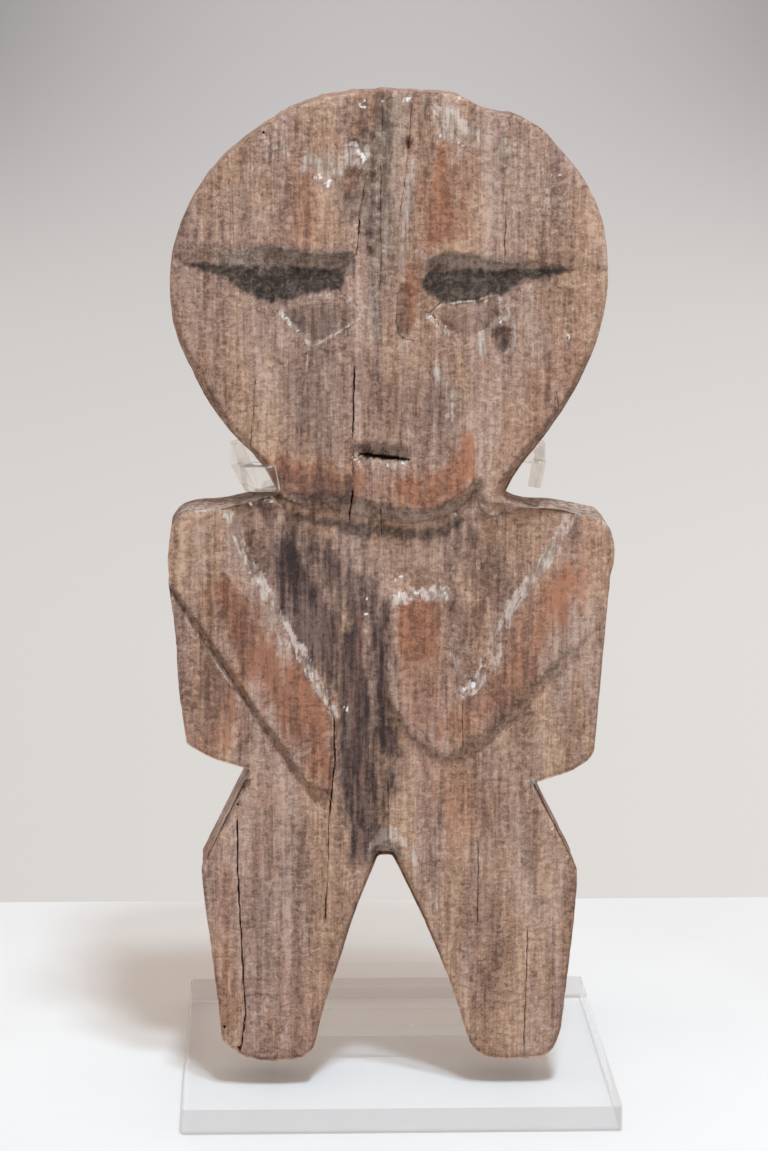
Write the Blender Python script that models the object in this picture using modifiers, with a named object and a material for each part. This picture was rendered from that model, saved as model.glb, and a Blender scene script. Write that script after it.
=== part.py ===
"""A carved wooden figure held upright on a clear acrylic stand.

The figure is one board: a round flat head, a body with two raised arms cut in low relief, and two short
legs. It stands on a square plate, and a bent sheet behind it sends two arms forward beside its neck.

Frame: +Z up, the figure faces -Y, and the origin lies under the middle of the whole, on the ground.
Outlines are (x, z) points in millimetres, read from the front and running clockwise.
"""

import math

import bmesh
import bpy
from mathutils import Matrix

MM = 0.001
GAP = 0.3

# Base plate
PLATE_SIDE = 152.4
PLATE_THICK = 9.5
PLATE_X = 2.4
PLATE_EDGE = 0.6
WIDEST = PLATE_X + PLATE_SIDE / 2

# Levels of the carving, measured along Y
HEAD_FRONT = -30.5
ARM_FRONT = -28.5
FLANK_FRONT = -26.4
CHEST_FRONT = -24.8
BACK = -0.5
RIM_ROUND = 1.4
CUT_REACH = 10.0
SKIN = 0.05
FLAT_FACE = 0.9
WELD = 0.02
OUTLINE_STEPS = 4

# Bent sheet behind the figure
SHEET_THICK = 4.7
SHEET_FRONT = 31.0
FLANGE_TIP = 1.2
BEND_RADIUS = 4.0
BEND_STEPS = 8
BLANK_HALF = 60.0
BLANK_BEHIND = 60.0
BLANK_BEFORE = 10.0
FOOT_HALF = 50.0
TOP_HALF = 34.0
TAPER_LOW = 20.0
TAPER_HIGH = 250.0
ARM_LOW = 218.3
ARM_HIGH = 227.3
ARM_BEND = 7.0
ARM_LEAN = 1.8
HOOK_BEND = 4.0
HOOK_CLEARANCE = 0.9
HOOK_TIP_X = -39.0
LEFT_ARM_X = -49.2
LEFT_ROOT_X = -55.3
RIGHT_ROOT_X = 56.0
RIGHT_ARM_X = 49.4
RIGHT_ARM_Y = -27.5

# Outline of the board. Each stretch is a smooth run, and its two ends are corners.
HEAD_LEFT = [(-39.5, 216.0), (-46.0, 227.0), (-57.5, 239.5), (-68.0, 256.0), (-77.0, 284.0),
             (-69.5, 318.0), (-42.5, 345.0), (-24.0, 353.5), (-2.0, 356.0), (23.0, 354.5)]
HEAD_RIGHT = [(23.0, 354.5), (31.5, 349.5), (46.0, 346.0), (56.5, 336.5), (69.5, 318.0), (73.5, 302.0),
              (73.0, 279.0), (65.0, 256.0), (55.5, 240.0), (43.0, 223.0), (39.0, 215.5)]
SHOULDER_RIGHT = [(39.0, 215.5), (44.0, 212.0), (58.0, 210.5), (73.0, 207.5)]
SIDE_RIGHT = [(73.0, 207.5), (77.0, 202.5), (76.0, 180.0), (72.0, 123.5)]
WAIST_RIGHT = [(72.0, 123.5), (69.0, 119.5), (51.0, 112.0)]
HIP_RIGHT = [(51.0, 112.0), (66.5, 81.0)]
LEG_RIGHT = [(66.5, 81.0), (66.5, 74.0), (61.5, 21.5)]
FOOT_RIGHT = [(61.5, 21.5), (58.0, 13.0), (53.5, 10.5), (45.5, 10.0), (40.0, 10.0), (35.0, 11.0),
              (30.0, 14.0), (27.0, 20.5)]
INNER_RIGHT = [(27.0, 20.5), (23.5, 32.0), (13.5, 58.0), (0.5, 85.5)]
CROTCH = [(0.5, 85.5), (-4.5, 85.5)]
INNER_LEFT = [(-4.5, 85.5), (-12.0, 67.0), (-17.5, 49.5), (-24.5, 27.5), (-26.5, 18.5)]
FOOT_LEFT = [(-26.5, 18.5), (-28.5, 13.5), (-32.5, 11.0), (-37.5, 10.0), (-45.0, 10.0), (-50.5, 11.0),
             (-55.5, 13.5), (-60.5, 18.0)]
LEG_LEFT = [(-60.5, 18.0), (-63.5, 46.0), (-67.0, 75.0), (-67.5, 82.0)]
HIP_LEFT = [(-67.5, 82.0), (-50.0, 117.5)]
WAIST_LEFT = [(-50.0, 117.5), (-64.0, 122.0), (-72.5, 127.0)]
SIDE_LEFT = [(-72.5, 127.0), (-75.0, 146.5), (-76.0, 165.0), (-WIDEST, 191.0), (-77.5, 204.5)]
SHOULDER_LEFT = [(-77.5, 204.5), (-73.5, 209.0), (-58.0, 211.5), (-39.5, 216.0)]
STRETCHES = [HEAD_LEFT, HEAD_RIGHT, SHOULDER_RIGHT, SIDE_RIGHT, WAIST_RIGHT, HIP_RIGHT, LEG_RIGHT,
             FOOT_RIGHT, INNER_RIGHT, CROTCH, INNER_LEFT, FOOT_LEFT, LEG_LEFT, HIP_LEFT, WAIST_LEFT,
             SIDE_LEFT, SHOULDER_LEFT]

# Lines of the carving. A third number is how far the slanting wall runs in from its line.
OUTSIDE = 95.0
FLANK_LEVEL = 181.0
NECK_RUN = 0.4
STRIP_RUN = 1.5
UNDER_RUN = 0.6
CHIN_LINE = [(-41.5, 217.5), (-29.0, 217.0), (-12.5, 214.0), (4.0, 211.0), (12.5, 211.0),
             (22.5, 215.5), (31.0, 221.5)]
NECK_RIGHT = [(32.5, 213.0), (41.5, 212.5)]
CHIN_DROP = 3.0
THROAT_DROP = 4.5
ARM_LEFT_TOP = [(-20.5, 137.0, 1.2), (-30.5, 154.0, 3.6), (-38.0, 164.5, 4.8), (-44.0, 174.5, 5.4),
                (-54.0, 196.0, 4.2), (-61.5, 216.0, 3.2)]
ARM_RIGHT_TOP = [(62.5, 216.0, 3.0), (62.0, 207.0, 3.4), (54.5, 192.5, 3.8), (44.0, 175.5, 3.8),
                 (39.0, 157.0, 6.2), (31.5, 147.0, 3.8), (24.0, 144.0, 1.2)]
HAND_RIGHT = [(22.0, 153.0, 1.6), (18.0, 173.5, 1.8), (18.0, 179.0, 3.4), (4.0, 177.5, 3.4),
              (0.5, 175.0, 2.2), (-0.5, 153.5, 1.6), (0.0, 142.5, 1.6), (5.5, 132.5, 1.6)]
BELLY_STRIP = [(5.5, 122.0), (2.5, 110.0), (-2.0, 96.5), (-10.0, 94.0), (-18.5, 105.0), (-19.5, 128.0)]
ARM_LEFT_UNDER = [(-76.0, 178.0), (-67.5, 167.0), (-47.0, 136.0), (-27.0, 106.5), (-22.0, 109.0),
                  (-20.0, 131.0)]
BELLY_TOP = (-3.0, 134.5)
ARM_RIGHT_UNDER = [(6.0, 131.5, 1.2), (18.0, 123.0, 2.4), (25.5, 123.5, 3.2), (40.5, 138.0, 4.0),
                   (57.5, 156.0, 4.6), (66.0, 164.0, 6.0), (OUTSIDE, 176.0, 8.0)]
EYE_LEFT = [(-58.0, 299.5, 2.5), (-50.0, 299.5, 4.5), (-46.5, 303.0, 6.0), (-25.0, 300.0, 5.5),
            (-15.5, 300.0, 2.4), (-16.5, 290.0, 1.6), (-12.0, 277.5, 0.8), (-27.5, 268.0, 0.6),
            (-63.0, 294.5, 0.6)]
EYE_RIGHT = [(10.5, 297.5, 1.6), (15.5, 300.0, 4.6), (31.0, 299.0, 5.2), (39.0, 296.5, 3.6),
             (47.0, 296.5, 2.5), (52.0, 292.5, 0.6), (41.5, 270.5, 0.6), (30.0, 268.0, 0.6),
             (20.5, 270.0, 0.6), (13.0, 279.0, 1.0)]
EYE_SHALLOW = 0.7
EYE_RISE = 0.20
EYE_FOOT = 279.0
EYE_LINE_LEFT = [(-63.0, 294.5), (-27.5, 268.0)]
EYE_LINE_RIGHT = [(20.0, 267.0), (54.0, 284.0)]
BROW_TAIL_LEFT = [(-OUTSIDE, 298.0, 1.0), (-66.0, 300.5, 2.0), (-54.0, 299.5, 2.0), (-54.0, 294.0, 0.0),
                  (-66.0, 295.0, 0.3), (-OUTSIDE, 295.5, 0.3)]
BROW_TAIL_RIGHT = [(44.0, 296.5, 2.0), (50.0, 298.0, 2.0), (58.0, 296.5, 1.4), (OUTSIDE, 296.5, 0.8),
                   (OUTSIDE, 294.5, 0.2), (60.0, 292.0, 0.3), (44.0, 290.5, 0.0)]
TAIL_DEPTH = 1.7
NOSE_FLANK = [(0.0, 286.5, 0.5), (6.0, 288.0, 2.5), (9.5, 282.0, 2.5), (8.5, 271.5, 0.4), (1.5, 272.5, 0.6)]
FLANK_DEPTH = 1.2
MOUTH_LEFT = -12.5
MOUTH_RIGHT = 6.5
MOUTH_LEVEL = 229.5
MOUTH_DROP = 1.5
MOUTH_SCOOP = 7.0
MOUTH_DEPTH = 2.6
MOUTH_FLARE = 1.0
MOUTH_SLANT = 5.0
MOUTH_SHEER = 0.3
TROUGH_X = -1.5
TROUGH_HALF = 14.0
TROUGH_DEPTH = 1.3
TROUGH_FOOT = 304.0
TROUGH_LENGTH = 70.0
TROUGH_SIDES = 96
CHAMFER_SLOPE = 1.3
CHAMFER_STEPS = 4
CHAMFER_INNER = 1.5
CHAMFER_PROUD = 0.5
CHAMFER_DEEP = 2.0
RIM_LEFT_WIDTHS = [2.4, 2.4, 2.3, 2.6, 0.8]
RIM_RIGHT_WIDTHS = [0.7, 1.6, 2.4, 3.0, 3.9, 3.4]
RIM_LEFT = [(x, z, width) for (x, z), width in zip(HEAD_LEFT, RIM_LEFT_WIDTHS)]
RIM_RIGHT = [(x, z, width) for (x, z), width in zip(HEAD_RIGHT[5:], RIM_RIGHT_WIDTHS)]
CROTCH_CHAMFER = [(-16.0, 52.0, 1.2), (-12.5, 76.0, 2.4), (-1.5, 92.5, 4.0), (5.0, 89.5, 4.0),
                  (17.5, 54.0, 1.2), (6.0, 48.0, 0.0), (-8.0, 48.0, 0.0)]
CROTCH_DEPTH = 3.6
GROOVE_LEFT = [(-77.5, 182.0), *ARM_LEFT_UNDER[1:4], (-23.5, 105.5)]
GROOVE_WIDTH = 3.4
GROOVE_DEPTH = 2.2
GROOVE_RUN_SHARE = 0.35

WOOD = (0.21, 0.125, 0.09)
ACRYLIC = (0.90, 0.91, 0.91)


def clear_scene():
    """Remove every object that the file starts with."""
    for thing in list(bpy.data.objects):
        bpy.data.objects.remove(thing, do_unlink=True)


def add_collection(name):
    """Make a collection and link it to the scene."""
    collection = bpy.data.collections.new(name)
    bpy.context.scene.collection.children.link(collection)
    return collection


def add_material(name, color, roughness, alpha=1.0):
    """Make a Principled material of one plain colour."""
    material = bpy.data.materials.new(name)
    material.use_nodes = True
    shader = material.node_tree.nodes["Principled BSDF"]
    shader.inputs["Base Color"].default_value = (*color, 1.0)
    shader.inputs["Roughness"].default_value = roughness
    shader.inputs["Metallic"].default_value = 0.0
    shader.inputs["Alpha"].default_value = alpha
    return material


def add_object(name, mesh, collection, material=None):
    """Put a mesh into the scene as an object."""
    thing = bpy.data.objects.new(name, mesh)
    collection.objects.link(thing)
    if material is not None:
        mesh.materials.append(material)
    return thing


def smooth_outline(stretches, resolution):
    """Fill a closed outline whose stretches are smooth and meet at corners."""
    curve = bpy.data.curves.new("outline", "CURVE")
    curve.dimensions = "2D"
    curve.fill_mode = "BOTH"
    curve.resolution_u = resolution
    spline = curve.splines.new("BEZIER")
    points = [(point, index == 0) for stretch in stretches for index, point in enumerate(stretch[:-1])]
    spline.bezier_points.add(len(points) - 1)
    for knot, ((x, z), corner) in zip(spline.bezier_points, points):
        knot.co = (x * MM, z * MM, 0.0)
        kind = "VECTOR" if corner else "AUTO"
        knot.handle_left_type = kind
        knot.handle_right_type = kind
    spline.use_cyclic_u = True
    return curve


def plain_outline(points):
    """Fill a closed outline of straight sides."""
    curve = bpy.data.curves.new("outline", "CURVE")
    curve.dimensions = "2D"
    curve.fill_mode = "BOTH"
    spline = curve.splines.new("POLY")
    spline.points.add(len(points) - 1)
    for knot, (across, up) in zip(spline.points, points):
        knot.co = (across * MM, up * MM, 0.0, 1.0)
    spline.use_cyclic_u = True
    return curve


def extruded(name, curve, low, high, turn, collection, material=None):
    """Give a flat outline its thickness from low to high, turn it into place and make it a mesh."""
    curve.extrude = (high - low) / 2 * MM
    guide = bpy.data.objects.new(name + "_curve", curve)
    collection.objects.link(guide)
    guide.matrix_world = turn @ Matrix.Translation((0.0, 0.0, (high + low) / 2 * MM))
    bpy.context.view_layer.update()
    evaluated = guide.evaluated_get(bpy.context.evaluated_depsgraph_get())
    mesh = bpy.data.meshes.new_from_object(evaluated)
    mesh.name = name
    mesh.transform(guide.matrix_world)
    bpy.data.objects.remove(guide, do_unlink=True)
    weld(mesh)
    return add_object(name, mesh, collection, material)


def weld(mesh):
    """Join the loose caps of a mesh and turn its faces outwards."""
    work = bmesh.new()
    work.from_mesh(mesh)
    bmesh.ops.remove_doubles(work, verts=work.verts, dist=WELD * MM)
    bmesh.ops.recalc_face_normals(work, faces=work.faces)
    work.to_mesh(mesh)
    work.free()


def facing_front():
    """Turn a flat outline so that its own z axis points towards -Y."""
    return Matrix.Rotation(math.radians(90.0), 4, "X")


def facing_side():
    """Turn a flat outline drawn in (y, z) so that its own z axis points towards +X."""
    return Matrix(((0.0, 0.0, 1.0, 0.0), (1.0, 0.0, 0.0, 0.0), (0.0, 1.0, 0.0, 0.0), (0.0, 0.0, 0.0, 1.0)))


def loft(name, rings, collection):
    """Skin a closed body over rings of equal count, with a flat cap at each end."""
    work = bmesh.new()
    loops = [[work.verts.new((x * MM, y * MM, z * MM)) for x, y, z in ring] for ring in rings]
    count = len(loops[0])
    for near, far in zip(loops, loops[1:]):
        for index in range(count):
            follow = (index + 1) % count
            work.faces.new((near[index], near[follow], far[follow], far[index]))
    work.faces.new(loops[0])
    work.faces.new(reversed(loops[-1]))
    bmesh.ops.recalc_face_normals(work, faces=work.faces)
    mesh = bpy.data.meshes.new(name)
    work.to_mesh(mesh)
    work.free()
    return add_object(name, mesh, collection)


def smooth_path(points, steps):
    """Fill in a smooth run through points that each hold a place and a width."""
    padded = [points[0]] + points + [points[-1]]
    path = []
    for a, b, c, d in zip(padded, padded[1:], padded[2:], padded[3:]):
        for step in range(steps):
            t = step / steps
            path.append(tuple(b[k] + t * (c[k] - a[k]) / 2
                              + t * t * (a[k] - 2.5 * b[k] + 2 * c[k] - d[k] / 2)
                              + t * t * t * (1.5 * (b[k] - c[k]) + (d[k] - a[k]) / 2) for k in range(3)))
    path.append(points[-1])
    return path


def inward(before, after):
    """Unit step to the right of the way from one (x, z) point to another."""
    along = (after[0] - before[0], after[1] - before[1])
    length = math.hypot(*along)
    return (along[1] / length, -along[0] / length)


def inset(outline):
    """Move each (x, z, run) corner of a clockwise outline inwards by its run."""
    count = len(outline)
    moved = []
    for index, (x, z, run) in enumerate(outline):
        step = inward(outline[index - 1], outline[(index + 1) % count])
        moved.append((x + step[0] * run, z + step[1] * run))
    return moved


def pocket(name, outline, level, floor, collection):
    """Make a cutter with slanting walls: the rim at a level and the floor at floor(x, z), deeper in."""
    mouth = [(x, HEAD_FRONT - CUT_REACH, z) for x, z, _ in outline]
    rim = [(x, level - SKIN, z) for x, z, _ in outline]
    bottom = [(x, floor(x, z), z) for x, z in inset(outline)]
    return loft(name, [mouth, rim, bottom], collection)


def chamfer(name, rim, level, collection):
    """Make a cutter that slants off the front edge along a clockwise run of (x, z, width) points."""
    path = smooth_path(rim, CHAMFER_STEPS)
    rings = []
    for index, (x, z, width) in enumerate(path):
        step = inward(path[max(index - 1, 0)], path[min(index + 1, len(path) - 1)])
        depth = width * CHAMFER_SLOPE
        into = width * CHAMFER_INNER
        inner = (x + step[0] * into, level - depth * CHAMFER_PROUD, z + step[1] * into)
        deep = (x - step[0] * width, level + depth * CHAMFER_DEEP, z - step[1] * width)
        outer = (x - step[0] * CUT_REACH / 2, level - CUT_REACH / 2, z - step[1] * CUT_REACH / 2)
        rings.append([inner, deep, outer])
    return loft(name, rings, collection)


def walled(points, run):
    """Give every point of a line the same wall run."""
    return [(x, z, run) for x, z in points]


def combine(thing, name, operation):
    """Add an exact Boolean to a part."""
    modifier = thing.modifiers.new(name, "BOOLEAN")
    modifier.operation = operation
    modifier.solver = "EXACT"
    return modifier


def keep_as_guide(cutter):
    """Keep a cutter in the file without rendering it."""
    cutter.hide_render = True
    cutter.display_type = "WIRE"


def round_rims(thing, width):
    """Make the front and the back of a board one face each, and round the edges where its walls meet them."""
    work = bmesh.new()
    work.from_mesh(thing.data)
    fill = [edge for edge in work.edges if all(abs(face.normal.y) > FLAT_FACE for face in edge.link_faces)]
    bmesh.ops.dissolve_edges(work, edges=fill, use_verts=False)
    weight = work.edges.layers.float.new("bevel_weight_edge")
    for edge in work.edges:
        flat = [abs(face.normal.y) > FLAT_FACE for face in edge.link_faces]
        edge[weight] = 1.0 if flat[0] != flat[1] else 0.0
    work.to_mesh(thing.data)
    work.free()
    modifier = thing.modifiers.new("rim", "BEVEL")
    modifier.limit_method = "WEIGHT"
    modifier.width = width * MM
    modifier.segments = 2
    modifier.use_clamp_overlap = False


def chin_pocket(carving):
    """Set everything below the chin back to the level of the arms."""
    outline = [(-OUTSIDE, CHIN_LINE[0][1], 0.0)]
    outline += walled(CHIN_LINE, CHIN_DROP)
    outline += walled(NECK_RIGHT, NECK_RUN)
    outline += [(OUTSIDE, NECK_RIGHT[1][1], 0.0), (OUTSIDE, 0.0, 0.0), (-OUTSIDE, 0.0, 0.0)]
    pocket("below_chin", outline, HEAD_FRONT, lambda x, z: ARM_FRONT, carving)


def chest_pocket(carving):
    """Set the throat, the chest and the strip of belly below it back between the raised arms."""
    outline = list(ARM_LEFT_TOP)
    outline += [(x, z - CHIN_DROP, THROAT_DROP) for x, z in CHIN_LINE]
    outline += walled([(x, z - CHIN_DROP) for x, z in NECK_RIGHT], NECK_RUN)
    outline += ARM_RIGHT_TOP + HAND_RIGHT
    outline += walled(BELLY_STRIP, STRIP_RUN)
    pocket("chest", outline, ARM_FRONT, lambda x, z: CHEST_FRONT, carving)


def flank_pocket(carving):
    """Set the belly, the flanks and the legs back below the arms."""
    outline = [(-OUTSIDE, FLANK_LEVEL, 0.0)]
    outline += walled(ARM_LEFT_UNDER, UNDER_RUN)
    outline += [(*BELLY_TOP, 0.0)]
    outline += ARM_RIGHT_UNDER
    outline += [(OUTSIDE, 0.0, 0.0), (-OUTSIDE, 0.0, 0.0)]
    pocket("flanks", outline, ARM_FRONT, lambda x, z: FLANK_FRONT, carving)


def tilted(line):
    """Floor of an eye hollow: shallow along its line and up to its foot, and deeper towards the brow."""
    (x0, z0), (x1, z1) = line
    length = math.hypot(x1 - x0, z1 - z0)

    def floor(x, z):
        above = ((x1 - x0) * (z - z0) - (z1 - z0) * (x - x0)) / length
        return HEAD_FRONT + EYE_SHALLOW + EYE_RISE * max(min(above, z - EYE_FOOT), 0.0)
    return floor


def face_pockets(carving):
    """Cut the two eye hollows, the thin ends of the brow line and the low flank beside the nose."""
    tail = HEAD_FRONT + TAIL_DEPTH
    flank = HEAD_FRONT + FLANK_DEPTH
    pocket("eye_left", EYE_LEFT, HEAD_FRONT, tilted(EYE_LINE_LEFT), carving)
    pocket("eye_right", EYE_RIGHT, HEAD_FRONT, tilted(EYE_LINE_RIGHT), carving)
    pocket("brow_left", BROW_TAIL_LEFT, HEAD_FRONT, lambda x, z: tail, carving)
    pocket("brow_right", BROW_TAIL_RIGHT, HEAD_FRONT, lambda x, z: tail, carving)
    pocket("nose_flank", NOSE_FLANK, HEAD_FRONT, lambda x, z: flank, carving)


def mouth_pocket(carving):
    """Cut the mouth: a scoop above a narrow slit, which drops a little to the figure's left."""
    top = MOUTH_LEVEL + MOUTH_SCOOP
    outline = [(MOUTH_LEFT - MOUTH_FLARE, top, MOUTH_SLANT),
               (MOUTH_RIGHT + MOUTH_FLARE, top - MOUTH_DROP, MOUTH_SLANT),
               (MOUTH_RIGHT, MOUTH_LEVEL - MOUTH_DROP, MOUTH_SHEER),
               (MOUTH_LEFT, MOUTH_LEVEL, MOUTH_SHEER)]
    pocket("mouth", outline, HEAD_FRONT, lambda x, z: HEAD_FRONT + MOUTH_DEPTH, carving)


def crotch_pocket(carving):
    """Chamfer the front edge round the fork of the legs."""
    pocket("crotch", CROTCH_CHAMFER, FLANK_FRONT, lambda x, z: FLANK_FRONT + CROTCH_DEPTH, carving)


def arm_groove(carving):
    """Cut the clean groove that runs under the left arm."""
    strip = walled(ribbon(GROOVE_LEFT, GROOVE_WIDTH), GROOVE_WIDTH * GROOVE_RUN_SHARE)
    pocket("arm_groove", strip, ARM_FRONT, lambda x, z: FLANK_FRONT + GROOVE_DEPTH, carving)


def forehead_trough(carving):
    """Lay a wide round bar along the forehead, which leaves the worn upright trough."""
    radius = (TROUGH_HALF ** 2 + TROUGH_DEPTH ** 2) / (2 * TROUGH_DEPTH)
    depth = (HEAD_FRONT + TROUGH_DEPTH - radius) * MM
    middle = (TROUGH_X * MM, depth, (TROUGH_FOOT + TROUGH_LENGTH / 2) * MM)
    bpy.ops.mesh.primitive_cylinder_add(vertices=TROUGH_SIDES, radius=radius * MM, depth=TROUGH_LENGTH * MM,
                                        location=middle)
    bar = bpy.context.active_object
    bar.name = "forehead_trough"
    for owner in list(bar.users_collection):
        owner.objects.unlink(bar)
    carving.objects.link(bar)


def build_figure(parts, carving):
    """Build the carved board, round its rims and cut its whole relief in one step."""
    wood = add_material("weathered_wood", WOOD, roughness=0.72)
    curve = smooth_outline(STRETCHES, OUTLINE_STEPS)
    figure = extruded("figure", curve, -BACK, -HEAD_FRONT, facing_front(), parts, wood)
    round_rims(figure, RIM_ROUND)
    chin_pocket(carving)
    chest_pocket(carving)
    flank_pocket(carving)
    face_pockets(carving)
    chamfer("rim_left", RIM_LEFT, HEAD_FRONT, carving)
    chamfer("rim_right", RIM_RIGHT, HEAD_FRONT, carving)
    mouth_pocket(carving)
    arm_groove(carving)
    crotch_pocket(carving)
    forehead_trough(carving)
    for cutter in carving.objects:
        keep_as_guide(cutter)
    relief = combine(figure, "relief", "DIFFERENCE")
    relief.operand_type = "COLLECTION"
    relief.collection = carving


def build_base(parts, acrylic):
    """Build the square plate with eased edges."""
    bpy.ops.mesh.primitive_cube_add(size=1.0, location=(PLATE_X * MM, 0.0, PLATE_THICK / 2 * MM))
    plate = bpy.context.active_object
    plate.name = "stand_base"
    plate.data.name = "stand_base"
    plate.scale = (PLATE_SIDE * MM, PLATE_SIDE * MM, PLATE_THICK * MM)
    bpy.ops.object.transform_apply(location=False, rotation=False, scale=True)
    for owner in list(plate.users_collection):
        owner.objects.unlink(plate)
    parts.objects.link(plate)
    plate.data.materials.append(acrylic)
    easing = plate.modifiers.new("edges", "BEVEL")
    easing.width = PLATE_EDGE * MM
    easing.segments = 2


def arc(center, radius, start, end, steps):
    """Points on a round bend, with angles in degrees."""
    angles = [math.radians(start + (end - start) * step / steps) for step in range(steps + 1)]
    return [(center[0] + radius * math.cos(a), center[1] + radius * math.sin(a)) for a in angles]


def sheet_profile():
    """Side view (y, z) of the bent sheet: flange, bend and upright."""
    bottom = PLATE_THICK + GAP
    center = (SHEET_FRONT - BEND_RADIUS, bottom + SHEET_THICK + BEND_RADIUS)
    outer = arc(center, BEND_RADIUS + SHEET_THICK, -90.0, 0.0, BEND_STEPS)
    inner = arc(center, BEND_RADIUS, 0.0, -90.0, BEND_STEPS)
    top = [(SHEET_FRONT + SHEET_THICK, ARM_HIGH), (SHEET_FRONT, ARM_HIGH)]
    return [(FLANGE_TIP, bottom)] + outer + top + inner + [(FLANGE_TIP, bottom + SHEET_THICK)]


def filleted(corners, radius, steps=6):
    """Follow a plan path of (x, y) corners, and round each inner corner."""
    path = [corners[0]]
    for before, corner, after in zip(corners, corners[1:], corners[2:]):
        back = [(before[k] - corner[k]) for k in range(2)]
        onward = [(after[k] - corner[k]) for k in range(2)]
        scale_back = 1.0 / math.hypot(*back)
        scale_on = 1.0 / math.hypot(*onward)
        cosine = sum(back[k] * onward[k] for k in range(2)) * scale_back * scale_on
        reach = radius / math.tan(math.acos(cosine) / 2)
        start = [corner[k] + back[k] * scale_back * reach for k in range(2)]
        end = [corner[k] + onward[k] * scale_on * reach for k in range(2)]
        for step in range(steps + 1):
            t = step / steps
            path.append(tuple((1 - t) ** 2 * start[k] + 2 * t * (1 - t) * corner[k] + t ** 2 * end[k]
                              for k in range(2)))
    path.append(corners[-1])
    return path


def ribbon(path, thickness):
    """Outline of a strip of even thickness along a plan path."""
    left, right = [], []
    for index, (x, y) in enumerate(path):
        before = path[max(index - 1, 0)]
        after = path[min(index + 1, len(path) - 1)]
        along = (after[0] - before[0], after[1] - before[1])
        length = math.hypot(*along)
        across = (-along[1] / length * thickness / 2, along[0] / length * thickness / 2)
        left.append((x + across[0], y + across[1]))
        right.append((x - across[0], y - across[1]))
    return left + right[::-1]


def cradle_path(lean):
    """Plan path of the cross bar and its two arms. Lean moves their front ends away from the neck."""
    bar = SHEET_FRONT + SHEET_THICK / 2
    hook = HEAD_FRONT - GAP - SHEET_THICK / 2 - HOOK_CLEARANCE
    corners = [(HOOK_TIP_X - lean, hook), (LEFT_ARM_X - lean, hook), (LEFT_ROOT_X, bar),
               (RIGHT_ROOT_X, bar), (RIGHT_ARM_X + lean, RIGHT_ARM_Y)]
    hooked = filleted(corners[:3], HOOK_BEND)
    behind = filleted(corners[1:], ARM_BEND)
    return hooked[:-1] + behind[1:]


def build_upright(parts, cutters, acrylic):
    """Build the bent sheet, its taper, and the bar whose arms come forward beside the neck."""
    profile = plain_outline(sheet_profile())
    upright = extruded("stand_upright", profile, -BLANK_HALF, BLANK_HALF, facing_side(), parts, acrylic)
    taper = plain_outline([(-FOOT_HALF, 0.0), (-FOOT_HALF, TAPER_LOW), (-TOP_HALF, TAPER_HIGH),
                           (TOP_HALF, TAPER_HIGH), (FOOT_HALF, TAPER_LOW), (FOOT_HALF, 0.0)])
    blank = extruded("sheet_taper", taper, -BLANK_BEHIND, BLANK_BEFORE, facing_front(), cutters)
    low = [(x, y, ARM_LOW) for x, y in ribbon(cradle_path(0.0), SHEET_THICK)]
    high = [(x, y, ARM_HIGH) for x, y in ribbon(cradle_path(ARM_LEAN), SHEET_THICK)]
    cradle = loft("cradle_arms", [low, high], cutters)
    for tool, operation in ((blank, "INTERSECT"), (cradle, "UNION")):
        keep_as_guide(tool)
        combine(upright, tool.name, operation).object = tool


def main():
    """Build the figure and its stand."""
    clear_scene()
    parts = add_collection("wooden_figure")
    carving = add_collection("carving")
    cutters = add_collection("cutters")
    acrylic = add_material("clear_acrylic", ACRYLIC, roughness=0.05, alpha=0.35)
    build_figure(parts, carving)
    build_base(parts, acrylic)
    build_upright(parts, cutters, acrylic)


main()
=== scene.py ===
"""Looks of a weathered carved wooden figure on its clear acrylic stand.

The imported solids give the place, the size and the sawn outline of everything. This file makes the worn
surface of the carving as one fine mesh, the polished plate and the bent sheet that steadies the neck, and
lights them.

Frame: metres, +Z up, the figure faces -Y. Sizes here are in millimetres and take MM on their way into a mesh.
Places on the carving are (x, z) as read from the front, and depth is counted back from the front of the head.
"""

import logging
import math
from collections.abc import Sequence
from dataclasses import dataclass, field
from enum import Enum

import bmesh
import bpy
import numpy as np
from mathutils import Matrix, Vector, geometry


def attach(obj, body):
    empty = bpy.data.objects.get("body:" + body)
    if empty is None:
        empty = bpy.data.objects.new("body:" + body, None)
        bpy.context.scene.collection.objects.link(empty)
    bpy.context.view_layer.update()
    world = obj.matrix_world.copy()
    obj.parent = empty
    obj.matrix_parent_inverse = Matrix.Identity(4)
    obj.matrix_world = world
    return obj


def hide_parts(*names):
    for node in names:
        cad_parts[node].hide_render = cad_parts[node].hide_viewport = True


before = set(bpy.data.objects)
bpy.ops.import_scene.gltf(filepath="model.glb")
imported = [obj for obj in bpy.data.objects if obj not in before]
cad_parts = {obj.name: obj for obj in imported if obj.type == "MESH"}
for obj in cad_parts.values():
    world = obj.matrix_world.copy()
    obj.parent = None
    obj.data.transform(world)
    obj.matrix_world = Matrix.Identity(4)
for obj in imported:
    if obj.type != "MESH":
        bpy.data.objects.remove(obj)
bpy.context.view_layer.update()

MM = 0.001
LOG = logging.getLogger("wooden_figure")
Array = np.ndarray
Places = Sequence[tuple[float, ...]]
Faces = list[tuple[int, ...]]
Layers = list[tuple[float, float, float, int]]
Span = tuple[float, float]
Colour = tuple[float, float, float, float]

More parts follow.
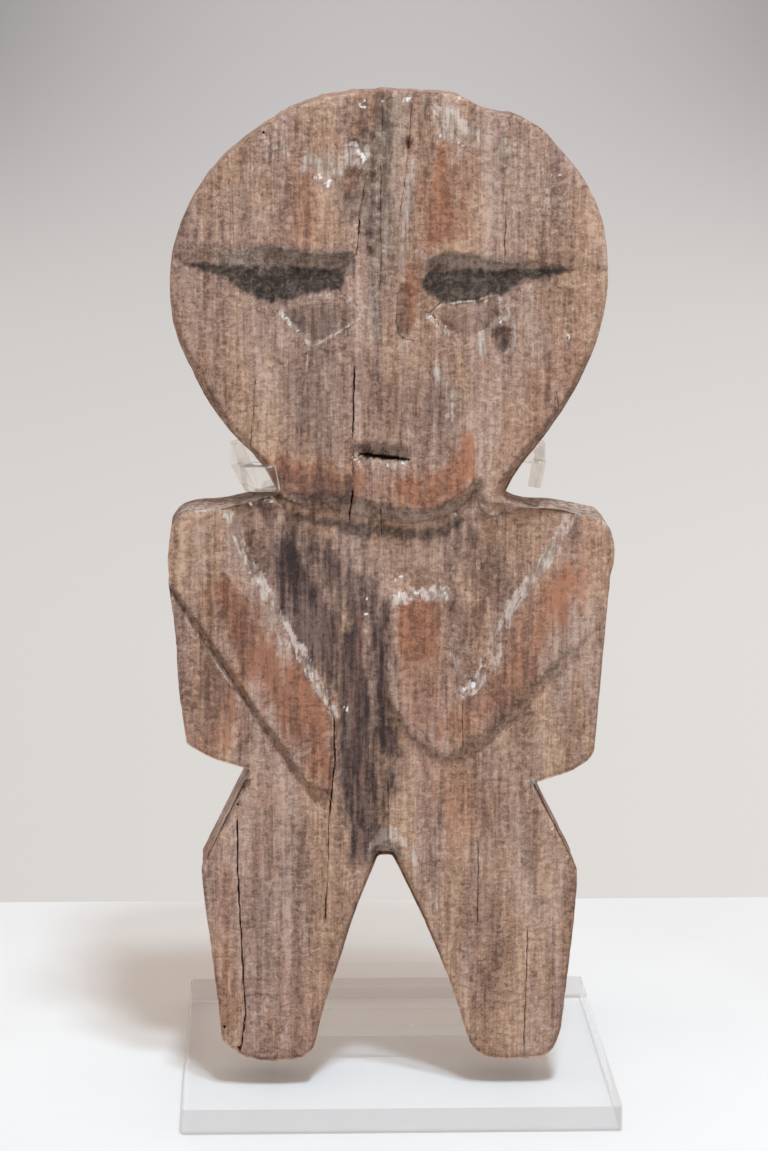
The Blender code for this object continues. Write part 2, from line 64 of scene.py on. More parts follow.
# Random fields, in layers of weight, lattice step across, lattice step up (both in millimetres) and seed
RIM_RAG: Layers = [(1.0, 1.1, 2.4, 5), (0.6, 3.4, 6.0, 6)]
BAND_STRAY: Layers = [(0.8, 1.8, 9.0, 23), (0.5, 0.8, 1.6, 24)]
BAND_GAPS: Layers = [(1.0, 1.9, 1.9, 26), (0.5, 5.0, 5.0, 27)]
CHIP_RAG: Layers = [(0.35, 0.9, 0.9, 28)]
TROUGH_LINES: Layers = [(0.55, 2.6, 26.0, 41), (0.3, 1.1, 14.0, 42)]
GROOVE_WAVES: Layers = [(0.1, 5.0, 5.0, 43)]
CHAMFER_WIDTHS: Layers = [(0.22, 5.0, 7.0, 44)]
CHAMFER_FALLS: Layers = [(0.15, 8.0, 8.0, 45)]
TOOL_WAVES: Layers = [(0.22, 9.0, 30.0, 46), (0.12, 2.4, 22.0, 47), (0.05, 1.1, 9.0, 48),
                      (0.08, 1.3, 1.6, 49)]
TORN_RELIEF: Layers = [(0.6, 2.2, 3.6, 50), (0.45, 0.9, 1.7, 51)]
LEDGE_FIBRES: Layers = [(0.4, 1.0, 3.0, 52), (0.3, 4.0, 7.0, 53)]
BACK_WAVES: Layers = [(0.2, 11.0, 26.0, 61), (0.05, 4.0, 9.0, 62)]
PLAIN_POLISH: Layers = [(0.25, 18.0, 40.0, 63)]
PLAIN_WEATHER: Layers = [(0.3, 22.0, 46.0, 64)]
PLAIN_STAIN: Layers = [(1.0, 16.0, 44.0, 65)]
# Fibres of the pale, dusty wear with painted highlight on the shoulders
SHOULDER_DUST_AND_HIGHLIGHT: Layers = [(0.25, 2.0, 3.0, 73)]
HIP_DUST: Layers = [(0.3, 1.2, 4.0, 74)]

# Lattice of the random fields: its side in steps, after which it repeats, and how far its corner is shifted
LATTICE_SIDE = 512
LATTICE_SHIFT: Span = (97.3, 41.7)

# Cuts: how far their ragged rims stray, the least run and the bulge of a wall, and the unit of a tilted floor
RIM_REACH = 3.0
LEAST_RUN = 0.35
WALL_BULGE = 0.08
TILT_UNIT = 20.0

# Splits: how far their ends taper, how open they are on average, and the least share of their width
SPLIT_TAPER = 3.0
SPLIT_OPEN = 0.66
SPLIT_LEAST = 0.55

# Marks: how many fades past its edge a band is worked out, and where its gaps start and end
BAND_REACH = 2.5
GAP_EDGE = 0.3

# Splinters: how many sizes out they are worked out, their spread of sizes and slants, and where they fade
CHIP_REACH = 3.0
CHIP_SIZES: Span = (0.45, 1.3)
CHIP_SLANTS: Span = (-0.8, 0.8)
CHIP_FADE: Span = (0.5, 1.25)

# Heights between which broken ledges, dusty shoulders and pale hips fade in and out; on ledges and shoulders
# the pale is partly painted highlight
LEDGES: tuple[Span, Span] = ((126.0, 138.0), (208.0, 222.0))
SHOULDERS: tuple[Span, Span] = ((196.0, 204.0), (214.0, 218.0))
HIPS: tuple[Span, Span] = ((86.0, 96.0), (112.0, 118.0))


def eased(value: Array, low: float, high: float) -> Array:
    """Smooth step: t * t * (3 - 2t), with t = (value - low) / (high - low) held between 0 and 1.

    Args:
        value: the numbers to map.
        low: where the step starts.
        high: where it ends.

    Returns:
        Numbers between 0 and 1.
    """
    t = np.clip((value - low) / (high - low), 0.0, 1.0)
    return t * t * (3.0 - 2.0 * t)


def grain(x: Array, z: Array, wide: float, tall: float, seed: int) -> Array:
    """Smooth random field: values on a lattice of wide by tall millimetres, blended by a smooth step.

    Args:
        x: places across.
        z: places up.
        wide: lattice step across.
        tall: lattice step up.
        seed: which field.

    Returns:
        Numbers between -1 and 1.
    """
    lattice = np.random.default_rng(seed).uniform(-1.0, 1.0, (LATTICE_SIDE, LATTICE_SIDE))
    u, v = x / wide + LATTICE_SHIFT[0], z / tall + LATTICE_SHIFT[1]
    i, j = np.floor(u).astype(int), np.floor(v).astype(int)
    s, t = eased(u - i, 0.0, 1.0), eased(v - j, 0.0, 1.0)
    i, j, k, m = (step % LATTICE_SIDE for step in (i, j, i + 1, j + 1))
    low = lattice[i, j] * (1 - s) + lattice[k, j] * s
    high = lattice[i, m] * (1 - s) + lattice[k, m] * s
    return low * (1 - t) + high * t


def layered(x: Array, z: Array, layers: Layers) -> Array:
    """Sum of random fields, each times its weight."""
    return sum(weight * grain(x, z, wide, tall, seed) for weight, wide, tall, seed in layers)


def held(value: Array, spans: tuple[Span, Span]) -> Array:
    """Rise smoothly from 0 to 1 over the first span, and fall back to 0 over the second."""
    rise, fall = spans
    return eased(value, *rise) * (1.0 - eased(value, *fall))


def flowing(points: Places | Array, steps: int = 4, closed: bool = False) -> Array:
    """Carry a Catmull-Rom curve through points that may hold further numbers, such as a width.

    Args:
        points: rows of x, z and any carried numbers.
        steps: pieces between two points.
        closed: whether the last row joins the first.

    Returns:
        The filled-in rows.
    """
    rows = np.array(points, float)
    if closed:
        knots = np.vstack([rows[-1:], rows, rows[:2]])
    else:
        knots = np.vstack([rows[:1], rows, rows[-1:]])
    t = (np.arange(steps) / steps)[:, None]
    filled = []
    for a, b, c, d in zip(knots, knots[1:], knots[2:], knots[3:]):
        filled.append(b + t * (c - a) / 2 + t * t * (a - 2.5 * b + 2 * c - d / 2)
                      + t ** 3 * (1.5 * (b - c) + (d - a) / 2))
    return np.vstack(filled if closed else [*filled, rows[-1:]])


def nearest(x: Array, z: Array, line: Array, closed: bool = False) -> tuple[Array, Array]:
    """Find the foot of each place on a broken line.

    Args:
        x: places across.
        z: places up.
        line: rows of x, z and any carried numbers.
        closed: whether the last row joins the first.

    Returns:
        The distance of each place, and the row of the line, blended along its pieces, at its foot.
    """
    starts = line if closed else line[:-1]
    ways = (np.roll(line, -1, 0) if closed else line[1:]) - starts
    spans = np.maximum((ways[:, :2] ** 2).sum(1), 1e-9)
    best = np.full(x.shape, np.inf)
    share = np.zeros(x.shape)
    pick = np.zeros(x.shape, int)
    for number, (start, way, span) in enumerate(zip(starts, ways, spans)):
        dx, dz = x - start[0], z - start[1]
        t = np.clip((dx * way[0] + dz * way[1]) / span, 0.0, 1.0)
        away = (dx - t * way[0]) ** 2 + (dz - t * way[1]) ** 2
        closer = away < best
        np.copyto(best, away, where=closer)
        np.copyto(share, t, where=closer)
        np.copyto(pick, number, where=closer)
    return np.sqrt(best), starts[pick] + share[..., None] * ways[pick]


def within(x: Array, z: Array, ring: Array) -> Array:
    """Tell which places lie inside a closed ring, by counting the sides that a ray along +x crosses."""
    odd = np.zeros(x.shape, bool)
    for a, b in zip(ring, np.roll(ring, -1, 0)):
        spans = (a[1] > z) != (b[1] > z)
        if spans.any():
            odd ^= spans & (x < a[0] + (z - a[1]) * (b[0] - a[0]) / (b[1] - a[1]))
    return odd


def around(x: Array, z: Array, line: Array, reach: float) -> Array:
    """Tell which places lie in the box of a line, widened by a reach."""
    low, high = line[:, :2].min(0) - reach, line[:, :2].max(0) + reach
    return (x > low[0]) & (x < high[0]) & (z > low[1]) & (z < high[1])


def belt(count: int, rings: int) -> Faces:
    """Quads between neighbouring rings, whose places are numbered one ring after the other.

    Args:
        count: places in each ring.
        rings: how many rings there are.

    Returns:
        Corner numbers of the quads.
    """
    index = np.arange(count)
    follow = (index + 1) % count
    start = np.arange(rings - 1)[:, None] * count
    quads = np.stack([start + index, start + follow, start + count + follow, start + count + index], 2)
    return [tuple(quad) for quad in quads.reshape(-1, 4).tolist()]


class Wear(Enum):
    """The kinds of wear that the wood carries as attributes of its mesh. Shade is painted shade; the pale,
    dusty kind also paints highlight on faces that look up; crack also paints shade in slits.
    """

    DUST_AND_HIGHLIGHT = "dust_and_highlight"
    CHIP = "chip"
    STAIN = "stain"
    POLISH = "polish"
    WEATHER = "weather"
    SHADE = "shade"
    CRACK_AND_SHADE = "crack"


def strengthen(wear: dict[Wear, Array], kind: Wear, values: Array) -> None:
    """Keep the stronger of the wear so far and the new values."""
    wear[kind] = np.maximum(wear[kind], values)


@dataclass(frozen=True)
class Pocket:
    """A cut in the front of the board, whose walls slant from its rim in to its floor.

    The outline holds x, z and the run of the wall there. Above its tilt line and its foot the floor sinks
    further, by rise times the square of the lesser height over them, counted in twenties of millimetres.
    """

    outline: Places
    rim: float
    floor: float
    rag: float = 0.15
    steps: int = 4
    tilt: Places | None = None
    rise: float = 0.0
    foot: float = 279.0

    def ring(self) -> Array:
        """The closed outline, with every side rounded into a curve where steps is above 1."""
        return flowing(self.outline, self.steps, closed=True)

    def cut(self, x: Array, z: Array, depth: Array) -> Array:
        """Deepen the board: rim + (floor - rim) * share, where share is the way in from the rim over the run.

        Args:
            x: places across.
            z: places up.
            depth: depth so far.

        Returns:
            The deeper of the two depths at each place.
        """
        ring = self.ring()
        near = around(x, z, ring, RIM_REACH)
        px, pz = x[near], z[near]
        away, foot = nearest(px, pz, ring, closed=True)
        inside = np.where(within(px, pz, ring), away, -away)
        inside = inside + self.rag * layered(px, pz, RIM_RAG)
        share = np.clip(inside / np.maximum(foot[:, 2], LEAST_RUN), 0.0, 1.0)
        share = share + WALL_BULGE * np.sin(2.0 * math.pi * share)
        floor = np.full(px.shape, self.floor)
        if self.tilt is not None:
            start, end = np.array(self.tilt[0]), np.array(self.tilt[1])
            way = (end - start) / np.hypot(*(end - start))
            above = way[0] * (pz - start[1]) - way[1] * (px - start[0])
            above = np.maximum(np.minimum(above, pz - self.foot), 0.0)
            floor = floor + self.rise * (above / TILT_UNIT) ** 2
        cut = self.rim + (floor - self.rim) * share
        result = depth.copy()
        result[near] = np.where(inside > 0.0, np.maximum(depth[near], cut), depth[near])
        return result


class Split(Enum):
    """How far a crack has opened: its half width and depth in millimetres, and how dark it reads."""

    HAIR = (0.22, 0.25, 0.5)
    THIN = (0.27, 0.8, 0.75)
    OPEN = (0.4, 3.0, 0.95)


@dataclass(frozen=True)
class Crack:
    """A split along the grain, as (x, z) points from its top to its foot."""

    kind: Split
    course: Places

    def across(self, z: Array) -> tuple[Array, Array]:
        """Where the crack runs at each height, and how open it is there, from 0 at its ends to 1."""
        course = np.array(self.course[::-1], float)
        seed = int(abs(course[0, 0]) * 7)
        x = np.interp(z, course[:, 1], course[:, 0])
        x = x + layered(z, z, [(0.25, 4.0, 4.0, seed + 11), (0.12, 1.3, 1.3, seed + 5)])
        ends = np.minimum(z - course[0, 1], course[-1, 1] - z)
        gaps = SPLIT_OPEN + layered(z, z, [(0.42, 2.6, 2.6, seed + 3)])
        return x, np.clip(ends / SPLIT_TAPER, 0.0, 1.0) * np.clip(gaps, 0.0, 1.0)


@dataclass(frozen=True)
class Band:
    """A strip of wear or colour along a course of (x, z, half width).

    Its edge fades and strays with the grain. Broken is the share of it that is lost in gaps, and proud is how
    far it stands out of the surface.
    """

    kind: Wear
    strength: float
    fade: float
    course: Places
    broken: float = 0.0
    proud: float = 0.0

    def weight(self, x: Array, z: Array) -> Array:
        """Strength * smooth step of the way in from the strip's edge, from -fade to fade, less the gaps."""
        line = flowing(self.course)
        near = around(x, z, line, line[:, 2].max() + BAND_REACH * self.fade)
        px, pz = x[near], z[near]
        away, foot = nearest(px, pz, line)
        inside = foot[:, 2] - away + self.fade * layered(px, pz, BAND_STRAY)
        gaps = self.broken * (1.0 - eased(layered(px, pz, BAND_GAPS), -GAP_EDGE, GAP_EDGE))
        result = np.zeros(x.shape)
        result[near] = self.strength * eased(inside, -self.fade, self.fade) * (1.0 - gaps)
        return result


@dataclass(frozen=True)
class Chips:
    """Splinters scattered along a course of (x, z): how many, how far they stray and how large they are."""

    count: int
    spread: float
    size: float
    strength: float
    course: Places
    seed: int = 1

    def weight(self, x: Array, z: Array) -> Array:
        """The strongest of all chips, each an oval of random place, size and slant that fades smoothly."""
        line = flowing(self.course)
        rng = np.random.default_rng(self.seed)
        along = rng.uniform(0.0, len(line) - 1.0, self.count)
        middles = np.stack([np.interp(along, np.arange(len(line)), line[:, k]) for k in range(2)], 1)
        middles += rng.normal(0.0, self.spread, (self.count, 2))
        halves = self.size * rng.uniform(*CHIP_SIZES, (self.count, 2))
        slants = rng.uniform(*CHIP_SLANTS, self.count)
        result = np.zeros(x.shape)
        for (cx, cz), (wide, tall), slant in zip(middles, halves, slants):
            near = np.maximum(np.abs(x - cx), np.abs(z - cz)) < CHIP_REACH * self.size
            dx, dz = x[near] - cx, z[near] - cz
            away = np.hypot((dx + slant * dz) / wide, dz / tall) + layered(x[near], z[near], CHIP_RAG)
            result[near] = np.maximum(result[near], self.strength * (1.0 - eased(away, *CHIP_FADE)))
        return result


@dataclass(frozen=True)
class Slope:
    """A chamfer along the board's edge where x lies between two bounds: its width at some heights."""

    left: float
    right: float
    heights: tuple[float, ...]
    widths: tuple[float, ...]

    def width(self, x: Array, z: Array) -> Array:
        """Width of the chamfer, blended between the named heights and 0 beyond them."""
        width = np.interp(z, self.heights, self.widths, left=0.0, right=0.0)
        return np.where((x > self.left) & (x < self.right), width, 0.0)


@dataclass
class Carving:
    """The relief of the front: the steps of the body, the small forms of the face, and the splits."""

    arm_depth: float = 2.0
    flank_depth: float = 4.1
    chest_depth: float = 5.7
    outside: float = 95.0
    chin: Places = (
        (-41.5, 218), (-29, 217), (-14.5, 216), (-1, 212.5), (12, 211.5), (22.5, 216.5), (30.5, 222.5))
    left_top: Places = (
        (-20.5, 137, 1.2), (-28, 147, 4.2), (-34, 158, 4.4), (-42, 168, 6), (-45.5, 179.5, 4.2),
        (-50.5, 189, 3.6), (-57.5, 204, 4), (-61.5, 216, 3.4))
    right_top: Places = (
        (66.5, 216, 4.4), (57.5, 194, 4.2), (49, 182, 4), (42, 173.5, 2.8), (39.5, 159, 6.8),
        (31.5, 147.5, 4.6), (24.5, 143.5, 1.8))
    hand: Places = (
        (22, 153, 1.6), (18.5, 173.5, 1.8), (18.5, 179, 3.4), (4, 177.5, 3.4), (0.5, 175, 2.4),
        (-0.5, 153.5, 1.8), (0, 142.5, 1.8), (5.5, 132.5, 1.6))
    belly: Places = (
        (5.5, 122, 2.6), (2.5, 110, 3.4), (-2, 96.5, 3.6), (-10, 92, 3.4), (-17.5, 101, 2.4),
        (-19.5, 128, 1.2))
    left_under: Places = (
        (-95, 181, 0.6), (-76, 178, 0.6), (-67.5, 167, 0.6), (-47, 136, 0.6), (-30, 111, 0.8),
        (-22.5, 109.5, 0.9), (-20, 131, 0.6), (-3, 134.5, 0.6))
    right_under: Places = (
        (5, 131.5, 1.2), (13.5, 125, 1.8), (19.5, 122.5, 2.4), (27, 124.5, 3.6), (41, 138.5, 4.2),
        (57.5, 156, 4.8), (66, 164, 7), (95, 176, 9))
    groove: Places = ((-77.5, 182), (-67.5, 167), (-47, 136), (-27, 106.5), (-23.5, 105.5))
    groove_half: float = 1.8
    groove_depth: float = 6.0
    trough_x: float = -2.5
    trough_half: float = 14.0
    trough_depth: float = 1.5
    trough_foot: float = 262.0
    trough_fade: float = 40.0
    trough_lean: float = 0.02
    brow: float = 300.0
    slope: float = 1.3
    torn_depth: float = 0.3
    broken_top: Span = (325, 345)
    broken_edge: Span = (6, 1)
    rim_blend: Span = (-0.5, 0.4)

    def pockets(self) -> list[Pocket]:
        """List the cuts of the carving from the shallow steps of the body to the small ones of the face."""
        arm, flank, chest, out = self.arm_depth, self.flank_depth, self.chest_depth, self.outside
        below = [(out, 0, 1), (-out, 0, 1)]
        below_chin = [(-out, 217.5, 2), *[(x, z, 3.4) for x, z in self.chin], (32.5, 214, 1),
                      (41.5, 213, 1), (out, 212.5, 1), *below]
        throat = [*[(x, z, 7.4) for x, z in self.chin], (30.5, 214, 1.2), (20, 203, 1),
                  (-20, 201, 1), (-41, 213, 1.4)]
        chest_ring = [*self.left_top, *[(x, z - 5, 3) for x, z in self.chin], (32.5, 208.5, 1),
                      (44.5, 211, 1.6), *self.right_top, *self.hand, *self.belly]
        notch = [(-30.5, 111.5, 0.7), (-23, 110, 0.7), (-24.5, 105.5, 1), (-27.5, 104.5, 1)]
        return [
            Pocket(below_chin, 0, arm, 0.12),
            Pocket(throat, 0, chest, 0.15),
            Pocket(chest_ring, arm, chest, 0.42),
            Pocket([*self.left_under, *self.right_under, *below], arm, flank, 0.15),
            Pocket(notch, flank, 6.6, 0.1, 1),
            *self.face_pockets(),
        ]

    def face_pockets(self) -> list[Pocket]:
        """The hollows that sink towards the brows, the foot of the nose, the mouth, and old scars."""
        left = [(-95, 297.5, 0.9), (-70.5, 299, 1.6), (-60, 300.5, 3.6), (-50.5, 299.5, 5.6),
                (-46, 303, 6.6), (-34, 301, 6.4), (-24.5, 300, 6.2), (-14.5, 300.5, 6.4),
                (-13, 296, 6), (-13, 287, 4), (-11.5, 279.5, 0.8), (-28.5, 268.5, 0.6), (-41, 280, 0.9),
                (-64, 294.5, 1), (-95, 295, 0.6)]
        right = [(12.5, 287, 1.8), (12, 296, 2.4), (17, 300.5, 6), (28.5, 299.5, 6.2), (38, 296.5, 4.6),
                 (49.5, 298, 4.2), (58.5, 295.5, 1.8), (95, 295, 1.4), (95, 293.5, 1),
                 (58, 288.5, 1.4), (40, 285, 1.2), (42, 270, 0.6), (36, 264.5, 0.7),
                 (24.5, 268.5, 0.8), (13, 279.5, 0.7)]
        mouth = [(-14.5, 236, 6), (5.5, 234, 5.4), (6.5, 228.5, 0.3), (-3, 227.5, 0.3), (-13.5, 230, 0.3)]
        slit = [(-14.5, 231, 0.3), (-5, 230.5, 0.4), (5.5, 228.5, 0.3), (-4, 228.5, 0.3)]
        lips = [[(-13.5, 229.5, 0.4), (-5, 228, 0.5), (-5, 225, 1.6), (-11, 225.5, 2)],
                [(-3.5, 227.5, 0.5), (6, 228.5, 0.4), (3, 224.5, 2), (-3, 224.5, 1.6)]]
        flank = [(1.5, 287, 0.5), (1.5, 272.5, 0.5), (7.5, 270.5, 0.6), (9.5, 276, 4), (9, 286, 4),
                 (4, 290, 2.4)]
        pit = [(34, 274, 0.5), (40.5, 274, 0.8), (40, 267, 1.2), (35.5, 266.5, 1.2)]
        scars = [[(-17.5, 328, 1.4), (-9, 327, 1.4), (-11.5, 308.5, 1.4), (-19, 312.5, 2.4)],
                 [(-16.5, 338, 0.5), (-12, 338.5, 0.5), (-12.5, 334.5, 0.8)],
                 [(3.5, 338.5, 0.4), (6, 338.5, 0.4), (5, 335, 0.5)]]
        return [
            Pocket(left, 0, 0.55, 0.14, 3, [(-63, 295.5), (-27.5, 268)], 6.6),
            Pocket(right, 0, 0.6, 0.14, 3, [(19, 266.5), (60, 289)], 6.4),
            Pocket(mouth, 0, 1.7, 0.06, 1),
            Pocket(slit, 0.6, 4.2, 0.03, 2),
            *[Pocket(lip, 0, 0.8, 0.15, 3) for lip in lips],
            Pocket(pit, 0.6, 2.4, 0.12, 3),
            Pocket(flank, 0, 1.2, 0.1, 2),
            *[Pocket(scar, 0, deep, 0.25, 2) for scar, deep in zip(scars, (2, 1.6, 3))],
        ]

    def cracks(self) -> list[Crack]:
        """List the splits that run with the grain."""
        courses = {
            Split.OPEN: [
                [(-14, 219), (-15, 205.5)], [(-11, 315.5), (-12.5, 305)],
                [(-13.5, 262), (-14, 235)],
                [(-51.5, 117.5), (-53, 109.5)], [(-54.5, 101.5), (-54.5, 78.5), (-52, 27), (-54.5, 9.5)],
                [(-20.5, 138.5), (-20, 121), (-22, 99)], [(-23, 72.5), (-23.5, 61.5)]],
            Split.THIN: [
                [(-14, 235), (-14, 222)], [(-4.5, 217), (-3.5, 199.5)], [(-9, 328.5), (-12, 311.5)],
                [(-12, 306.5), (-13, 297.5)], [(-4.5, 332), (-4.5, 286)], [(-4, 355), (-4, 337)],
                [(6, 354), (5, 336), (1.5, 309)], [(-47.5, 258.5), (-49.5, 230)], [(38.5, 320), (38, 296.5)],
                [(56.5, 254), (58, 238.5)], [(-22, 100), (-23, 68)], [(25, 143.5), (25, 122.5)],
                [(31, 92.5), (31, 57.5)], [(49, 60), (48, 9.5)], [(-1, 115), (-1, 89)]],
            Split.HAIR: [
                [(-5, 226.5), (-4.5, 216)], [(-4.5, 284), (-4.5, 263)],
                [(-43.5, 344), (-46, 318.5)], [(-49, 315.5), (-49.5, 296.5)], [(-53, 110.5), (-54.5, 101)],
                [(-52.5, 198), (-56, 149.5)], [(-58.5, 65), (-58.5, 14.5)], [(-53.5, 145.5), (-53.5, 117)],
                [(39.5, 168), (40, 137)], [(56.5, 178), (56, 141)], [(25.5, 231), (25, 216.5)]],
        }
        return [Crack(kind, course) for kind, listed in courses.items() for course in listed]

    def slopes(self) -> list[Slope]:
        """List the chamfers: both sides of the lower head, the fork of the legs and the two hips."""
        return [
            Slope(-80, -20, (214, 256, 276, 292), (2.4, 2.6, 2, 0.6)),
            Slope(20, 80, (214, 223, 240, 260, 279, 298), (3.4, 3.9, 3, 2.5, 1.4, 0.7)),
            Slope(-25, 25, (32, 60, 80, 92, 100), (0.3, 1, 2, 4.2, 6)),
            Slope(45, 80, (80, 92, 112), (0, 1.2, 2)),
            Slope(-80, -50, (80, 92, 114), (0, 1.6, 3.6)),
        ]

    def torn(self) -> list[Band]:
        """List the stretches where the surface is broken and fibrous."""
        courses = [
            (1, 2, [(-25, 325, 5), (-14, 338, 7), (-6, 344, 4)]),
            (1.4, 2.5, [(-8, 338, 5), (-9, 318, 8), (-7, 304, 5)]),
            (1, 2, [(13, 348, 4), (22, 343, 8), (30, 346, 3)]),
            (0.8, 2, [(18, 275, 3), (28, 273, 7), (38, 275, 5)]),
            (0.8, 2, [(33, 206, 4), (26, 195, 10), (34, 180, 5)]),
            (1, 1.5, [(3, 184, 3.5), (16, 184, 3.5)]),
            (0.9, 1.6, [(27, 166, 5), (31, 156, 6), (26, 147, 2.5)]),
            (0.7, 1.6, [(-56, 208, 3), (-46, 184, 3), (-36, 164, 4), (-23, 143, 3)]),
        ]
        return [Band(Wear.DUST_AND_HIGHLIGHT, *course) for course in courses]

    def depth(self, x: Array, z: Array, edge: Array, proud: Array) -> Array:
        """Depth of the carved front behind the front of the head.

        It is the deepest of all cuts, plus a worn trough down the forehead, a groove of V section under the
        left arm, chamfers that fall by their slope times the way out, torn patches, tool waves and fibres.

        Args:
            x: places across.
            z: places up.
            edge: distance in from the board's outline.
            proud: how far marks stand out.

        Returns:
            Depth in millimetres.
        """
        depth = np.zeros(x.shape)
        for pocket in self.pockets():
            depth = pocket.cut(x, z, depth)
        off = (x - self.trough_x - self.trough_lean * (z - self.brow)) / self.trough_half
        worn = self.trough_depth * np.clip(1.0 - off ** 2, 0.0, 1.0)
        worn *= eased(z, self.trough_foot, self.trough_foot + self.trough_fade)
        worn *= 1.0 + layered(x, z, TROUGH_LINES)
        depth = depth + np.maximum(worn, 0.0)
        away, _ = nearest(x, z, flowing(self.groove))
        sharp = 1.0 - away / (self.groove_half * (1.0 + layered(x, z, GROOVE_WAVES)))
        depth = np.where(sharp > 0.0, np.maximum(depth, depth + (self.groove_depth - depth) * sharp), depth)
        for slope in self.slopes():
            width = slope.width(x, z) * (1.0 + layered(x, z, CHAMFER_WIDTHS))
            fall = self.slope * (1.0 + layered(x, z, CHAMFER_FALLS))
            depth = depth + fall * np.maximum(width - edge, 0.0)
        torn = np.max([band.weight(x, z) for band in self.torn()], 0)
        torn = np.maximum(torn, eased(z, *self.broken_top) * eased(edge, *self.broken_edge))
        depth = depth + torn * (self.torn_depth + layered(x, z, TORN_RELIEF)) + layered(x, z, TOOL_WAVES)
        return np.maximum(depth - proud, 0.0) * eased(edge, *self.rim_blend)


